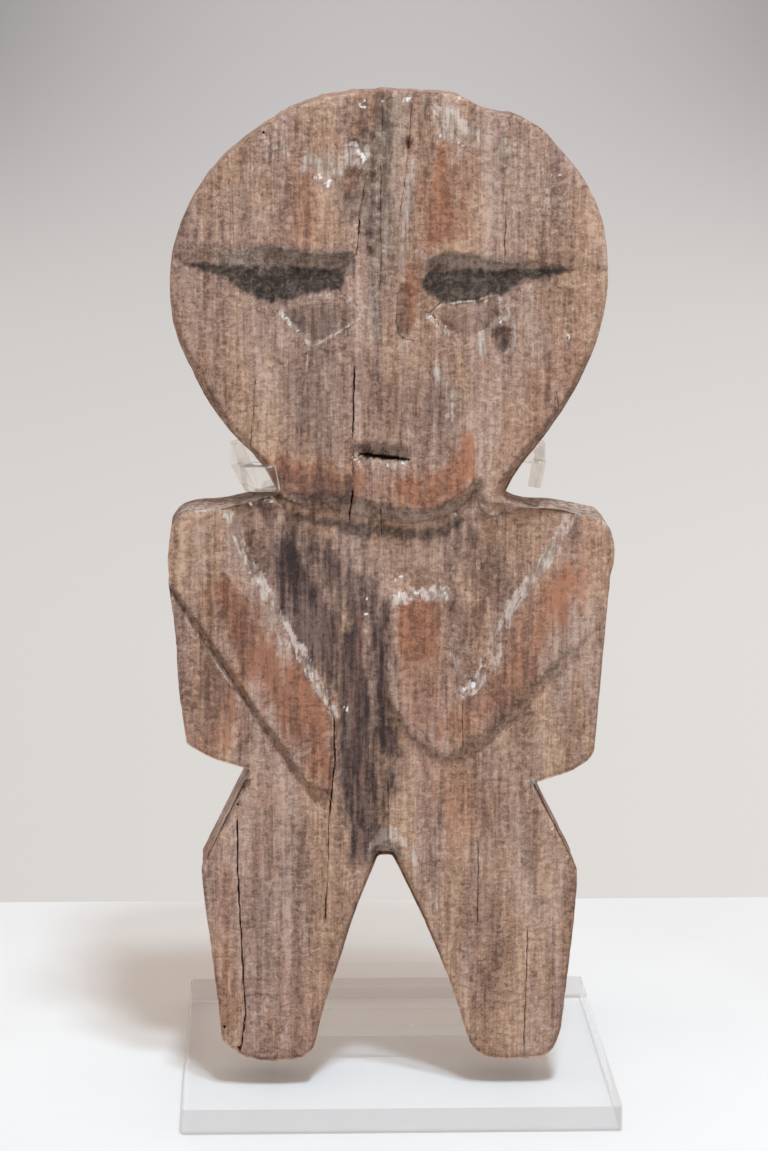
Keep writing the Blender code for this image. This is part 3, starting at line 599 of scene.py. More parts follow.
@dataclass
class Patina:
    """Where the wood is polished, stained, bleached, chipped or dirty."""

    # Pale, dusty wear with painted highlight on ledges that face up, and painted shade on faces that look
    # down
    ledge_dust_and_highlight: float = 0.74
    under_shade: float = 0.4
    overhangs: Span = (100.0, 108.0)
    ledge_tilt: Span = (0.25, 0.55)
    ledge_up: Span = (0.0, 0.4)
    under_tilt: Span = (0.25, 0.60)
    under_down: Span = (0.1, 0.5)

    def polish(self) -> list[Band]:
        """Red-brown places that hands have kept smooth."""
        courses = [
            (1.25, 4, [(-40, 225, 3.5), (-28, 221, 7), (-15, 219.5, 6)]),
            (1.25, 4.5, [(4, 217.5, 5), (13, 217.5, 7.5), (23, 224, 5), (25, 234, 2)]),
            (0.6, 2.6, [(-11, 219, 3), (-1, 218, 3.5)]),
            (1.2, 3.6, [(15, 334, 2.5), (15, 320, 5.5), (14, 306.5, 5)]),
            (0.6, 5, [(26, 330, 2), (24, 310, 4)]),
            (0.85, 2, [(8, 298, 1.2), (6.5, 288, 2.6), (6, 276, 2.2)]),
            (0.7, 6, [(-33, 322, 5), (-33, 304, 6), (-50, 301.5, 1)]),
            (0.7, 2, [(-14, 327, 1.5), (-14.5, 320, 2)]),
            (0.45, 2.5, [(-60, 285, 2), (-60, 271, 2.5)]),
            (0.4, 6, [(62, 266, 4), (53, 250, 7), (44, 234, 4)]),
            (1.15, 5, [(-60, 182, 5), (-44, 154, 7), (-29, 128, 5)]),
            (1.3, 4, [(-36, 154, 4), (-28, 138, 6), (-25.5, 118, 4)]),
            (1.25, 1.2, [(9.5, 174.5, 7.4), (9.5, 164, 7.8)]),
            (0.75, 3.5, [(10, 156, 6), (11, 138, 6)]),
            (1, 5, [(22, 133, 4), (33, 141, 6), (46, 158, 6), (60, 186, 7)]),
            (0.4, 4, [(40, 146, 5), (52, 168, 6)]),
            (0.8, 1.6, [(-11.5, 172, 1.5), (-11.5, 140, 2.5), (-12, 108, 2)]),
            (0.45, 2, [(-25, 189, 0.5), (-24.5, 176, 1)]),
            (1.05, 6, [(-60, 150, 7), (-62, 132, 7)]),
            (0.4, 6, [(64, 204, 5), (66, 186, 5)]),
            (0.6, 8, [(14, 114, 6), (24, 100, 8), (40, 108, 5)]),
            (0.5, 5, [(-59, 76, 3), (-58, 24, 3)]),
            (0.4, 6, [(-42, 106, 5), (-44, 84, 6)]),
            (0.35, 6, [(-34, 40, 5), (-33, 20, 5)]),
        ]
        return [Band(Wear.POLISH, *course) for course in courses]

    def stains(self) -> list[Band]:
        """Dark purple-brown and grey-black places, and painted shade beside the nose and above the mouth."""
        courses = [
            (0.85, 0.9, [(-45, 214, 2.4), (-43, 207, 2.6), (-43, 201, 0.6)]),
            (0.5, 1.6, [(-53, 211, 1.6), (-46, 213.5, 1.6)]),
            (1.15, 5, [(-41, 198, 5), (-32, 181, 9), (-24, 160, 8), (-19, 146, 3)]),
            (0.9, 5, [(-30, 200, 5), (-19, 186, 8), (-10, 176, 7)]),
            (1.05, 3.5, [(-14, 164, 5), (-12, 128, 7.5), (-10, 98, 6.5), (-12, 86, 2.5)]),
            (1.1, 2.6, [(-3, 178, 2), (-4, 150, 3.6), (-1, 128, 3.8), (-1, 112, 2.8)]),
            (0.6, 4, [(24, 202, 3), (32, 190, 6), (34, 178, 3)]),
            (0.35, 3, [(24, 176, 2), (25, 160, 2)]),
            (0.9, 0.8, [(37.5, 272, 2), (38, 268, 2)]),
            (0.55, 0.8, [(-35, 278.5, 2.5), (-24.5, 277, 6.5), (-14, 279.5, 2)]),
            (0.5, 0.8, [(16.5, 279, 2), (25, 277, 5.5), (33, 280, 4)]),
            (0.35, 5, [(-10, 262, 3), (0, 248, 8), (16, 248, 8), (18, 236, 4)]),
            (0.42, 6, [(-27, 264, 5), (-28, 248, 8), (-27, 234, 7)]),
            # Red-brown side of the nose, partly painted shade beside it
            (0.5, 1.8, [(3, 286, 0.8), (3.5, 274, 1.8)]),
            (0.75, 4.5, [(-38, 222, 3), (-27, 219, 5), (-16, 217, 4)]),
            (0.35, 5, [(-56, 176, 5), (-42, 152, 6), (-30, 128, 4)]),
            (0.3, 6, [(20, 200, 8), (8, 192, 8), (-8, 196, 8)]),
            # Painted shade in the recess above the mouth's slit
            (0.6, 1.4, [(-11, 233, 1.8), (4, 232, 1.8)]),
            (0.5, 1.4, [(-13, 325, 1.6), (-15, 314, 3)]),
            (0.4, 1.2, [(-8, 330, 0.8), (-9, 306, 1.2)]),
            (0.35, 2, [(-12, 350, 2), (-10, 342, 2)]),
            (0.4, 4, [(-60, 160, 3), (-62, 138, 5)]),
            (0.3, 3, [(-52, 128, 3), (-50, 120, 2)]),
            (0.3, 3, [(-46, 100, 3), (-47, 40, 3)]),
            (0.3, 2, [(-31, 84, 1), (-32, 34, 2)]),
            (0.3, 3, [(34, 120, 1.5), (35, 70, 2.5), (35, 30, 1)]),
            (0.28, 2.5, [(50, 112, 1.5), (51, 70, 2)]),
            (0.3, 3, [(14, 84, 3), (10, 62, 2)]),
            (0.4, 4, [(62, 150, 1.5), (64, 132, 2.5)]),
            (0.32, 6, [(60, 168, 4), (62, 140, 6)]),
        ]
        return [Band(Wear.STAIN, *course) for course in courses]

    def shades(self) -> list[Band]:
        """Painted shade: shadows under the brows and the chin, in the mouth and along the right arm's foot.
        """
        left = [(-72, 297, 0.8), (-58, 294.5, 2.2), (-44, 290, 5.5), (-32, 291, 5), (-20, 291.5, 3.5)]
        right = [(14, 290, 4), (22, 288.5, 6.5), (33, 289.5, 5), (45, 292.5, 2.2), (60, 294.5, 1)]
        courses = [
            (1.1, 1.1, [(x, z - 0.5, half) for x, z, half in left]),
            (1.1, 1.1, right),
            (0.28, 1.5, [(x, z + 4, half + 2.5) for x, z, half in left]),
            (0.28, 1.5, [(x, z + 3, half + 2.5) for x, z, half in right]),
            (0.38, 1.2, [(-38, 215, 2), (-14, 213, 2.6), (8, 208.5, 3), (23, 213, 3), (29, 219, 2)]),
            (0.85, 1.2, [(-37, 208.5, 0.8), (-22, 205.5, 1.6), (0, 202, 2.2), (14, 201.5, 2),
                         (24, 206, 1.4)]),
            (0.45, 1.4, [(5, 130.5, 0.6), (18, 122, 1), (29, 127, 2), (42, 139.5, 2.4),
                         (57, 154.5, 2), (68, 164, 1)]),
            (0.40, 0.9, [(-13, 233.5, 1), (5, 232, 1)]),
        ]
        return [Band(Wear.SHADE, *course) for course in courses]

    def lines(self) -> list[Band]:
        """Narrow marks: lifted fibres on the rims of the face, incised lines, and worn edges of the hand. The
        pale rims are partly painted highlight on lit edges; the dark lines in the mouth's slit, beside the
        nose and under the right arm are painted shade.
        """
        dust_and_highlight = [
            # Pale rims of the eyes, nose, mouth and hand: lifted fibres with painted highlight where the
            # edges face the light
            (1.2, 0.4, [(-39, 280, 0.7), (-33, 273, 1), (-28.5, 268.5, 0.7)], 0.25, 0.3),
            (1, 0.3, [(-28, 268, 0.5), (-20, 272.5, 0.5), (-11.5, 278, 0.6)], 0.25, 0.25),
            (0.8, 0.3, [(-29.5, 267, 0.4), (-30, 260, 0.35)], 0.3, 0.15),
            (0.9, 0.3, [(-31, 285, 0.4), (-20, 286, 0.4), (-14, 283.5, 0.45), (-11.5, 279.5, 0.4)], 0.3, 0.2),
            (1, 0.35, [(11, 279.5, 0.6), (15.5, 275, 0.6), (21.5, 271, 0.45)], 0.25, 0.25),
            (0.9, 0.3, [(13.5, 281.5, 0.4), (20, 283, 0.4), (29, 284, 0.4)], 0.3, 0.15),
            (1, 0.35, [(29, 284, 0.4), (35.5, 285.5, 0.5), (40, 280, 0.6), (42, 272, 0.5),
                       (40.5, 265.5, 0.5)], 0.25, 0.25),
            (1.1, 0.6, [(33, 273.5, 0.9), (36, 277, 1.1), (40.5, 278, 1)], 0.3, 0.35),
            (1.2, 0.8, [(30, 272, 1.6), (30.5, 266.5, 2)], 0.2, 0.25),
            (0.6, 0.5, [(2, 179, 0.8), (10, 181.5, 1.1), (18, 181, 0.9)], 0.3, 0.3),
            (0.5, 0.4, [(20, 174, 0.5), (22.5, 158, 0.5), (24, 146, 0.6)], 0.4, 0.15),
            (0.95, 0.8, [(-53, 114, 1.8), (-58.5, 105, 1.4), (-64, 94, 0.4)], 0.2, 0.1),
            (0.95, 0.6, [(49.5, 113, 1.2), (56, 104, 1), (62, 93, 0.3)], 0.2, 0.1),
            (0.9, 0.8, [(-7.5, 89, 0.6), (-1, 94, 2.6), (6.5, 88, 1), (17, 66, 0.5)], 0.3, 0.1),
            (0.75, 1.2, [(6.5, 338, 0.6), (5.5, 322, 1.6), (3, 303, 1.8), (1, 288, 0.8)], 0.35, 0.15),
            (0.5, 1.2, [(24, 209, 1), (32, 211, 2), (38, 206, 1.5)], 0.5, 0.2),
            (0.7, 2, [(13, 262, 1), (19, 252, 3.5), (18, 245, 2.5)], 0.55, 0.1),
            (0.75, 2, [(11, 350, 3), (20, 344, 5), (28, 340, 3)], 0.45, 0.15),
            (0.75, 2, [(-29, 331, 3), (-20, 330, 5), (-12, 335, 4)], 0.45, 0.15),
            (0.45, 4, [(-56, 318, 4), (-48, 330, 5), (-36, 342, 4)], 0.6, 0),
            (0.5, 4, [(34, 338, 4), (46, 330, 5), (56, 318, 4)], 0.6, 0),
            (0.4, 3, [(-36, 262, 2), (-44, 274, 2)], 0.7, 0),
            (0.35, 3, [(60, 272, 2), (58, 266, 2)], 0.6, 0),
        ]
        cut = [
            (0.72, 0.25, [(12.5, 280, 0.3), (16.5, 283.5, 0.3)]),
            (0.70, 0.25, [(13.5, 279.5, 0.3), (16, 275, 0.3)]),
            (0.66, 0.3, [(-19.5, 288.5, 0.3), (-15.5, 284.5, 0.3)]),
            (0.66, 0.3, [(-13.5, 283.5, 0.3), (-10.5, 279.5, 0.3)]),
            # Painted shade along the nose's edge and foot
            (0.60, 0.3, [(1.5, 287, 0.3), (1.5, 273, 0.5), (7.5, 270, 0.4)]),
            # Painted shade along the right arm's lower edge
            (0.55, 0.4, [(4.5, 131.5, 0.2), (10, 126.5, 0.4), (19, 121.5, 0.4)], 0.3),
            (0.45, 0.3, [(0, 159, 0.3), (13, 159, 0.3)], 0.4),
            (0.50, 0.5, [(31.5, 274.5, 0.4), (35, 278, 0.4)]),
            # Painted shade in the mouth's slit
            (0.95, 0.3, [(-13, 230, 0.2), (-4, 229.5, 0.7), (5.5, 228.5, 0.3)]),
        ]
        # Pale ledges of the lips: worn fibres with painted highlight
        lips = [(0.62, 0.5, [(-13, 229, 0.4), (-9, 227.5, 0.9), (-5.5, 227.5, 0.5)], 0.3, 0.1),
                (0.62, 0.5, [(-3.5, 227, 0.5), (1, 226.5, 0.9), (6, 228.5, 0.4)], 0.3, 0.1)]
        return [*[Band(Wear.DUST_AND_HIGHLIGHT, *row) for row in [*dust_and_highlight, *lips]], *[Band(Wear.CRACK_AND_SHADE, *row) for row in cut]]

    def chips(self) -> list[Chips]:
        """Bright splinters where the surface has broken lately."""
        rows = [
            (5, 0.5, 1, 1, [(-14.5, 337.5), (-11, 332.5)]),
            (5, 0.8, 1.2, 0.95, [(-28.5, 327.5), (-22, 323.5)]),
            (7, 1.6, 0.9, 0.75, [(10, 344), (18, 338.5), (27, 338.5)]),
            (6, 1.4, 1.1, 0.7, [(14, 350), (24, 352)]),
            (8, 1, 1, 0.8, [(-14, 351), (8, 353.5)]),
            (3, 0.8, 0.9, 0.7, [(50, 328), (56, 327)]),
            (8, 0.5, 0.6, 0.9, [(-38.5, 279.5), (-33, 273), (-28.5, 268.5)]),
            (6, 0.4, 0.5, 0.8, [(-27, 268.5), (-12, 278)]),
            (6, 0.5, 0.5, 0.8, [(12, 279), (21, 271)]),
            (9, 0.8, 0.6, 0.9, [(30, 266), (31, 273), (40, 278), (41.5, 268)]),
            (9, 0.5, 0.55, 0.9, [(-13, 229), (-8, 226.5), (6, 228)]),
            (4, 0.5, 0.5, 0.6, [(-10, 225), (1, 225)]),
            (3, 0.4, 0.7, 1, [(1, 185.5), (2.5, 187)]),
            (8, 0.7, 0.6, 0.9, [(2, 180), (18, 181.5)]),
            (5, 0.7, 0.8, 1, [(24.5, 145.5), (30, 148.5)]),
            (7, 0.8, 0.6, 0.9, [(-24, 136.5), (-17, 138.5), (-15, 141)]),
            (4, 0.5, 0.5, 0.9, [(-9, 179), (-9, 173)]),
            (14, 1.3, 0.6, 0.7, [(-55, 206), (-42, 176), (-24, 144)]),
            (10, 1.2, 0.6, 0.6, [(60, 206), (42, 176), (32, 152)]),
            (6, 1, 0.7, 0.8, [(-50, 213), (-41, 215.5)]),
            (4, 1, 0.6, 0.8, [(22, 207), (28, 212)]),
            (3, 0.8, 0.7, 0.8, [(60, 272), (61, 268)]),
            (4, 1.5, 0.6, 0.6, [(57, 97), (61, 90)]),
            (10, 9, 0.5, 0.5, [(-8, 195), (-12, 100)]),
        ]
        return [Chips(*row, seed) for seed, row in enumerate(rows, 100)]

    def weathered(self) -> list[Band]:
        """Grey places where bare wood has dried out."""
        courses = [
            (0.8, 3, [(0, 351, 4), (-6, 328, 8), (-4, 306, 6), (-2, 288, 2)]),
            (0.5, 3, [(-24, 331, 4), (-18, 318, 3)]),
            (0.85, 1, [(-6, 298, 2.4), (-6.5, 284, 2.6), (-5.5, 272, 1.6)]),
            (0.35, 7, [(-55, 322, 5), (-48, 310, 6)]),
            (0.3, 6, [(-39, 282, 2), (-38, 248, 4)]),
            (0.35, 8, [(40, 334, 8), (48, 312, 9)]),
            (0.35, 6, [(48, 290, 3), (46, 270, 5)]),
            (0.45, 3, [(-66, 202, 4), (-68, 186, 3)]),
            (0.35, 5, [(-58, 160, 2), (-64, 134, 5)]),
            (0.55, 1.5, [(-36, 214.5, 1.6), (-14, 213, 2.2), (8, 208.5, 2.6), (23, 213, 2.4)]),
            (0.45, 4, [(-36, 100, 6), (-40, 70, 6)]),
            (0.9, 1, [(-8, 84, 1.5), (-3, 91, 3.4), (4, 85, 1.5)]),
            (0.3, 6, [(46, 130, 5), (40, 100, 6)]),
            (0.95, 1, [(-60, 298, 1), (-46, 299, 4.5), (-30, 297, 4.5), (-17, 297, 4)]),
            (0.95, 1, [(15, 295.5, 4), (27, 295.5, 4.5), (40, 294.5, 3), (57, 294.5, 1)]),
        ]
        return [Band(Wear.WEATHER, *course) for course in courses]

    def proud(self, x: Array, z: Array) -> Array:
        """How far the narrow marks stand out of the surface."""
        marks = [band for band in self.lines() if band.proud != 0.0]
        return np.sum([band.proud * band.weight(x, z) for band in marks], 0)

    def lay(self, x: Array, z: Array, tilt: Array, up: Array) -> dict[Wear, Array]:
        """Wear of the carved front: the named bands and chips, fibres and painted highlight on ledges,
        painted shade under overhangs.

        Args:
            x: places across.
            z: places up.
            tilt: how far the surface leans away from facing forward, from 0 to 1.
            up: share of that lean that faces up, from -1 to 1.

        Returns:
            One array for each kind of wear.
        """
        wear = {kind: np.zeros(x.shape) for kind in Wear}
        bands = [*self.polish(), *self.stains(), *self.shades(), *self.weathered(), *self.lines()]
        for band in bands:
            strengthen(wear, band.kind, band.weight(x, z))
        for chips in self.chips():
            strengthen(wear, Wear.CHIP, chips.weight(x, z))
        # Ledges that face up turn pale: dusty fibres with a painted highlight
        ledge = held(z, LEDGES) * eased(tilt, *self.ledge_tilt) * eased(up, *self.ledge_up)
        strengthen(wear, Wear.DUST_AND_HIGHLIGHT, ledge * (self.ledge_dust_and_highlight + layered(x, z, LEDGE_FIBRES)))
        # Painted shade on faces that look down, higher than the fork of the legs
        under = eased(tilt, *self.under_tilt) * eased(-up, *self.under_down) * eased(z, *self.overhangs)
        strengthen(wear, Wear.SHADE, self.under_shade * under)
        return wear


@dataclass
class Surface:
    """A piece of mesh in the making: its places, its faces, and how dark the splits are at each place."""

    points: Array
    faces: Faces
    dark: Array


@dataclass
class CarvedBoard:
    """The figure: one board, sawn to its outline, carved on the front, and split and worn by time."""

    carving: Carving = field(default_factory=Carving)
    patina: Patina = field(default_factory=Patina)
    front: float = -30.5
    back: float = -0.5
    rim_round: float = 1.4
    ring_step: float = 1.1
    column_step: float = 0.62
    back_step: float = 3.0
    edge_margin: float = 0.75
    back_margin: float = 2.6
    front_insets: tuple[float, ...] = (0.4,)
    back_insets: tuple[float, ...] = (0.5, 1.5)
    inset_keep: float = 0.85
    exact_edge: float = 4.0
    rough_skip: int = 6
    level_gap: float = 0.02
    draw_reach: float = 0.3
    draw_box: float = 1.0
    weld: float = 1e-6
    sharp_mark: float = 0.5
    sharp_angle: float = 62.0
    nick_shares: tuple[float, float, float, float] = (0.06, 0.16, 0.8, 0.3)
    broken_top: Span = (338.0, 350.0)
    rare_nicks: Span = (0.55, 0.9)
    wave_level: float = 0.25
    wave_edge: float = 4.0
    hip_sides: Span = (42.0, 48.0)
    side_faces: Span = (0.75, 0.95)
    level_faces: Span = (0.3, 0.9)
    plain_polish: float = 0.25
    plain_stain: float = 0.5
    stain_edge: Span = (0.25, 0.9)
    wear_slant: float = 0.3
    least_tilt: float = 0.05
    # Pale wear of the walls: dusty tops and shoulders with painted highlight, dusty hips
    shoulder_dust_and_highlight: float = 0.6
    hip_dust: float = 0.75
    edge_dust_and_highlight: float = 0.25
    most_wear: float = 1.3
    left: float = -80.0
    right: float = 80.0
    back_low: float = 8.0
    back_high: float = 360.0
    wall_stations: int = 12
    facet_shift: float = 300.0
    facet_deep: float = 0.4
    facet_fine: float = 0.1
    row_bands: Places = (
        (9.0, 90.0, 1.3), (90.0, 150.0, 1.1), (150.0, 200.0, 1.1), (200.0, 238.0, 0.8), (238.0, 262.0, 1.1),
        (262.0, 304.0, 0.72), (304.0, 357.0, 1.0))

    def sawn_ring(self) -> Array:
        """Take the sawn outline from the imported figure: the edges where its wall meets the rim of the back.

        Returns:
            The ring's corners as rows of x and z, in clockwise order.
        """
        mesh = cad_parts["figure"].data
        places = np.empty(len(mesh.vertices) * 3)
        mesh.vertices.foreach_get("co", places)
        places = places.reshape(-1, 3) / MM
        pairs = np.empty(len(mesh.edges) * 2, int)
        mesh.edges.foreach_get("vertices", pairs)
        level = np.abs(places[:, 1] - (self.back - self.rim_round)) < self.level_gap
        _, names = np.unique(np.round(places[:, [0, 2]], 2), axis=0, return_inverse=True)
        names = names.ravel()
        pairs = pairs.reshape(-1, 2)
        sides = names[pairs[level[pairs].all(1)]]
        sides = np.unique(np.sort(sides[sides[:, 0] != sides[:, 1]], 1), axis=0)
        spot = dict(zip(names[level].tolist(), places[level][:, [0, 2]]))
        beside: dict[int, list[int]] = {}
        for one, other in sides.tolist():
            beside.setdefault(one, []).append(other)
            beside.setdefault(other, []).append(one)
        order = [int(sides[0, 0]), int(sides[0, 1])]
        while order[-1] != order[0]:
            order.append(next(name for name in beside[order[-1]] if name != order[-2]))
        ring = np.array([spot[name] for name in order[:-1]])
        follow = np.roll(ring, -1, 0)
        anticlockwise = (ring[:, 0] * follow[:, 1] - follow[:, 0] * ring[:, 1]).sum() > 0.0
        return ring[::-1] if anticlockwise else ring

    def outline(self) -> Array:
        """Follow the sawn ring in even steps, ease its corners and take small nicks inwards.

        A nick is the least depth, plus a common field, a coarse one at the broken top and a few rare ones.

        Returns:
            The ring's places as rows of x and z.
        """
        ring = self.sawn_ring()
        ring = np.vstack([ring, ring[:1]])
        steps = np.hypot(*np.diff(ring, axis=0).T)
        along = np.concatenate([[0.0], np.cumsum(steps)])
        count = int(along[-1] / self.ring_step)
        even = np.arange(count) * along[-1] / count
        ring = np.stack([np.interp(even, along, ring[:, k]) for k in range(2)], 1)
        ring = (np.roll(ring, 1, 0) + 4 * ring + np.roll(ring, -1, 0)) / 6
        x, z = ring[:, 0], ring[:, 1]
        least, common, coarse, rare = self.nick_shares
        nick = least + common * np.abs(grain(x, z, 4.0, 4.0, 31))
        nick += coarse * eased(z, *self.broken_top) * np.abs(grain(x, z, 5.0, 5.0, 33))
        nick += rare * eased(grain(x, z, 6.0, 6.0, 32), *self.rare_nicks)
        return ring - self.outward(ring) * nick[:, None]

    def outward(self, ring: Array) -> Array:
        """Unit step out of a clockwise ring: the chord from the place before to that after, turned left."""
        way = np.roll(ring, -1, 0) - np.roll(ring, 1, 0)
        way = way / np.hypot(way[:, 0], way[:, 1])[:, None]
        return np.stack([-way[:, 1], way[:, 0]], 1)

    def rows(self) -> Array:
        """Heights of the grid's rows, closer where the carving is fine."""
        return np.concatenate([np.arange(low, high - step / 2, step) for low, high, step in self.row_bands])

    def edge_distance(self, x: Array, z: Array, ring: Array) -> Array:
        """Distance in from the outline, exact within a few millimetres of it and rough further in."""
        rough, _ = nearest(x, z, ring[::self.rough_skip], closed=True)
        near = rough < self.exact_edge
        rough[near] = nearest(x[near], z[near], ring, closed=True)[0]
        return np.where(within(x, z, ring), rough, -rough)

    def rounded(self, edge: Array) -> Array:
        """How far the rounded rim falls back: radius minus the height of a circle at that way in."""
        short = np.clip(self.rim_round - np.maximum(edge, 0.0), 0.0, self.rim_round)
        return self.rim_round - np.sqrt(self.rim_round ** 2 - short ** 2)

    def front_surface(self, ring: Array) -> Surface:
        """Make the carved front: a grid drawn to the cuts and cracks, joined to the ring by triangles.

        Args:
            ring: the board's outline, whose places come first in the result.

        Returns:
            The front, with y already in place.
        """
        rows = self.rows()
        x, z = np.meshgrid(np.arange(self.left, self.right, self.column_step), rows)
        cells = self.whole_cells(self.edge_distance(x, z, ring) > self.edge_margin)
        self.draw_to_lines(x, z)
        split, dark = self.opened_cracks(x, rows)
        surface = self.stitched(x, z, cells, ring, self.front_insets, split, dark)
        px, pz, edge = self.laid_out(surface, ring)
        depth = self.carving.depth(px, pz, edge, self.patina.proud(px, pz))
        depth = depth + self.rounded(edge) + surface.points[:, 1]
        surface.points[:, 1] = self.front + depth
        return surface

    def opened_cracks(self, x: Array, rows: Array) -> tuple[Array, Array]:
        """Draw three places of each grid row to every crack: its middle and its two rims.

        Args:
            x: the grid's places across, which are moved.
            rows: the heights of its rows.

        Returns:
            The depth and the darkness of the cracks on the grid.
        """
        split, dark = np.zeros(x.shape), np.zeros(x.shape)
        for crack in self.carving.cracks():
            half, deep, tone = crack.kind.value
            middle, open_by = crack.across(rows)
            live = np.nonzero(open_by > 0.0)[0]
            middle, open_by = middle[live], open_by[live]
            column = np.rint((middle - self.left) / self.column_step).astype(int)
            wide = half * SPLIT_LEAST * (1.0 + open_by)
            for side in (0, -1, 1):
                x[live, column + side] = middle + side * wide
            split[live, column] = np.maximum(split[live, column], deep * open_by)
            dark[live, column] = np.maximum(dark[live, column], tone * np.sqrt(open_by))
        return split, dark

    def laid_out(self, surface: Surface, ring: Array) -> tuple[Array, Array, Array]:
        """Places across, places up and distance in from the outline, which is 0 on the ring itself."""
        x, z = surface.points[:, 0], surface.points[:, 2]
        edge = self.edge_distance(x, z, ring)
        edge[:len(ring)] = 0.0
        return x, z, edge

    def draw_to_lines(self, x: Array, z: Array) -> None:
        """Move grid places that lie close to a cut's outline, a sharp mark or the groove onto it."""
        lines = [(pocket.ring(), True) for pocket in self.carving.pockets()]
        marks = [band for band in self.patina.lines() if band.fade < self.sharp_mark]
        lines += [(flowing(band.course), False) for band in marks]
        lines.append((flowing(self.carving.groove), False))
        for line, closed in lines:
            near = around(x, z, line, self.draw_box)
            px, pz = x[near], z[near]
            away, foot = nearest(px, pz, line, closed)
            close = away < self.draw_reach
            x[near] = np.where(close, foot[:, 0], px)
            z[near] = np.where(close, foot[:, 1], pz)

    def back_surface(self, ring: Array) -> Surface:
        """Make the plain back, with low waves left by a broad blade, in the same way on a coarse grid."""
        columns = np.arange(self.left, self.right, self.back_step)
        x, z = np.meshgrid(columns, np.arange(self.back_low, self.back_high, self.back_step))
        cells = self.whole_cells(self.edge_distance(x, z, ring) > self.back_margin)
        blank = np.zeros(x.shape)
        surface = self.stitched(x, z, cells, ring, self.back_insets, blank, blank)
        px, pz, edge = self.laid_out(surface, ring)
        waves = self.wave_level + layered(px, pz, BACK_WAVES)
        depth = np.maximum(waves, 0.0) * eased(edge, 0.0, self.wave_edge) + self.rounded(edge)
        surface.points[:, 1] = self.back - depth
        surface.faces = [face[::-1] for face in surface.faces]
        return surface

    def whole_cells(self, inside: Array) -> Array:
        """Cells of a grid with all four corners inside."""
        return inside[:-1, :-1] & inside[1:, :-1] & inside[:-1, 1:] & inside[1:, 1:]

    def rim_sides(self, cells: Array) -> list[tuple[tuple[int, int], tuple[int, int]]]:
        """Sides of cells that have a kept cell on one side only, as pairs of (row, column)."""
        padded = np.pad(cells, 1)
        level = np.argwhere(padded[1:, 1:-1] != padded[:-1, 1:-1])
        upright = np.argwhere(padded[1:-1, 1:] != padded[1:-1, :-1])
        return [((r, c), (r, c + 1)) for r, c in level] + [((r, c), (r + 1, c)) for r, c in upright]

    def inner_rings(self, ring: Array, insets: tuple[float, ...]) -> Array:
        """Places a little way in from the ring, less those that come too near another stretch of it."""
        kept = []
        for inset in insets:
            moved = ring - self.outward(ring) * inset
            away, _ = nearest(moved[:, 0], moved[:, 1], ring, closed=True)
            kept.append(moved[away > inset * self.inset_keep])
        return np.vstack(kept)

    def stitched(self, x: Array, z: Array, cells: Array, ring: Array, insets: tuple[float, ...],
                 split: Array, dark: Array) -> Surface:
        """Fill the strip between the kept cells of a grid and the ring with Delaunay triangles.

        Args:
            x: the grid's places across.
            z: the grid's places up.
            cells: which cells are kept.
            ring: the outline.
            insets: how far in from the outline further rings of places lie.
            split: depth of the cracks on the grid.
            dark: darkness of the cracks on the grid.

        Returns:
            The surface, facing forward, with the depth of the cracks as its y. The ring's places come first.
        """
        used = np.zeros(x.shape, bool)
        for rows, cols in ((slice(-1), slice(-1)), (slice(1, None), slice(-1)),
                           (slice(-1), slice(1, None)), (slice(1, None), slice(1, None))):
            used[rows, cols] |= cells
        number = np.full(x.shape, -1)
        number[used] = np.arange(used.sum()) + len(ring)
        rim_numbers = [(int(number[a]), int(number[b])) for a, b in self.rim_sides(cells)]
        rim_used = sorted({n for pair in rim_numbers for n in pair})
        grid_points = np.stack([x[used], z[used]], 1)
        extra = self.inner_rings(ring, insets)
        local = {n: k + len(ring) for k, n in enumerate(rim_used)}
        places = [Vector(p) for p in ring]
        places += [Vector(grid_points[n - len(ring)]) for n in rim_used]
        places += [Vector(p) for p in extra]
        sides = [(k, (k + 1) % len(ring)) for k in range(len(ring))]
        sides += [(local[a], local[b]) for a, b in rim_numbers]
        _, _, triangles, origins, _, _ = geometry.delaunay_2d_cdt(places, sides, [], 0, self.weld, True)
        total = len(ring) + len(grid_points)
        source = np.array([o[0] for o in origins])
        lookup = np.concatenate([np.arange(len(ring)), np.array(rim_used), np.arange(len(extra)) + total])
        names = lookup[source]
        flat = np.array([[p.x, p.y] for p in places])[source]
        triangles = np.array(triangles)
        middle = flat[triangles].mean(1)
        corner = names[triangles]
        on_grid = ((corner >= len(ring)) & (corner < total)).all(1)
        row = np.clip(np.searchsorted(z[:, 0], middle[:, 1]) - 1, 0, cells.shape[0] - 1)
        col = np.clip(np.searchsorted(x[0], middle[:, 0]) - 1, 0, cells.shape[1] - 1)
        keep = within(middle[:, 0], middle[:, 1], ring) & ~(on_grid & cells[row, col])
        first = number[:-1, :-1][cells]
        quads = np.stack([first, number[:-1, 1:][cells], number[1:, 1:][cells], number[1:, :-1][cells]], 1)
        blank_ring, blank_extra = np.zeros(len(ring)), np.zeros(len(extra))
        flat_all = np.vstack([ring, grid_points, extra])
        sunk = np.concatenate([blank_ring, split[used], blank_extra])
        points = np.stack([flat_all[:, 0], sunk, flat_all[:, 1]], 1)
        faces = [tuple(f) for f in quads.tolist()] + [tuple(f) for f in corner[keep].tolist()]
        return Surface(points, faces, np.concatenate([blank_ring, dark[used], blank_extra]))

    def plain_wear(self, x: Array, z: Array) -> dict[Wear, Array]:
        """Even, low wear for the sides that show least."""
        wear = {kind: np.zeros(x.shape) for kind in Wear}
        wear[Wear.POLISH] = self.plain_polish + layered(x, z, PLAIN_POLISH)
        wear[Wear.WEATHER] = np.maximum(layered(x, z, PLAIN_WEATHER), 0.0)
        wear[Wear.STAIN] = self.plain_stain * eased(layered(x, z, PLAIN_STAIN), *self.stain_edge)
        return wear

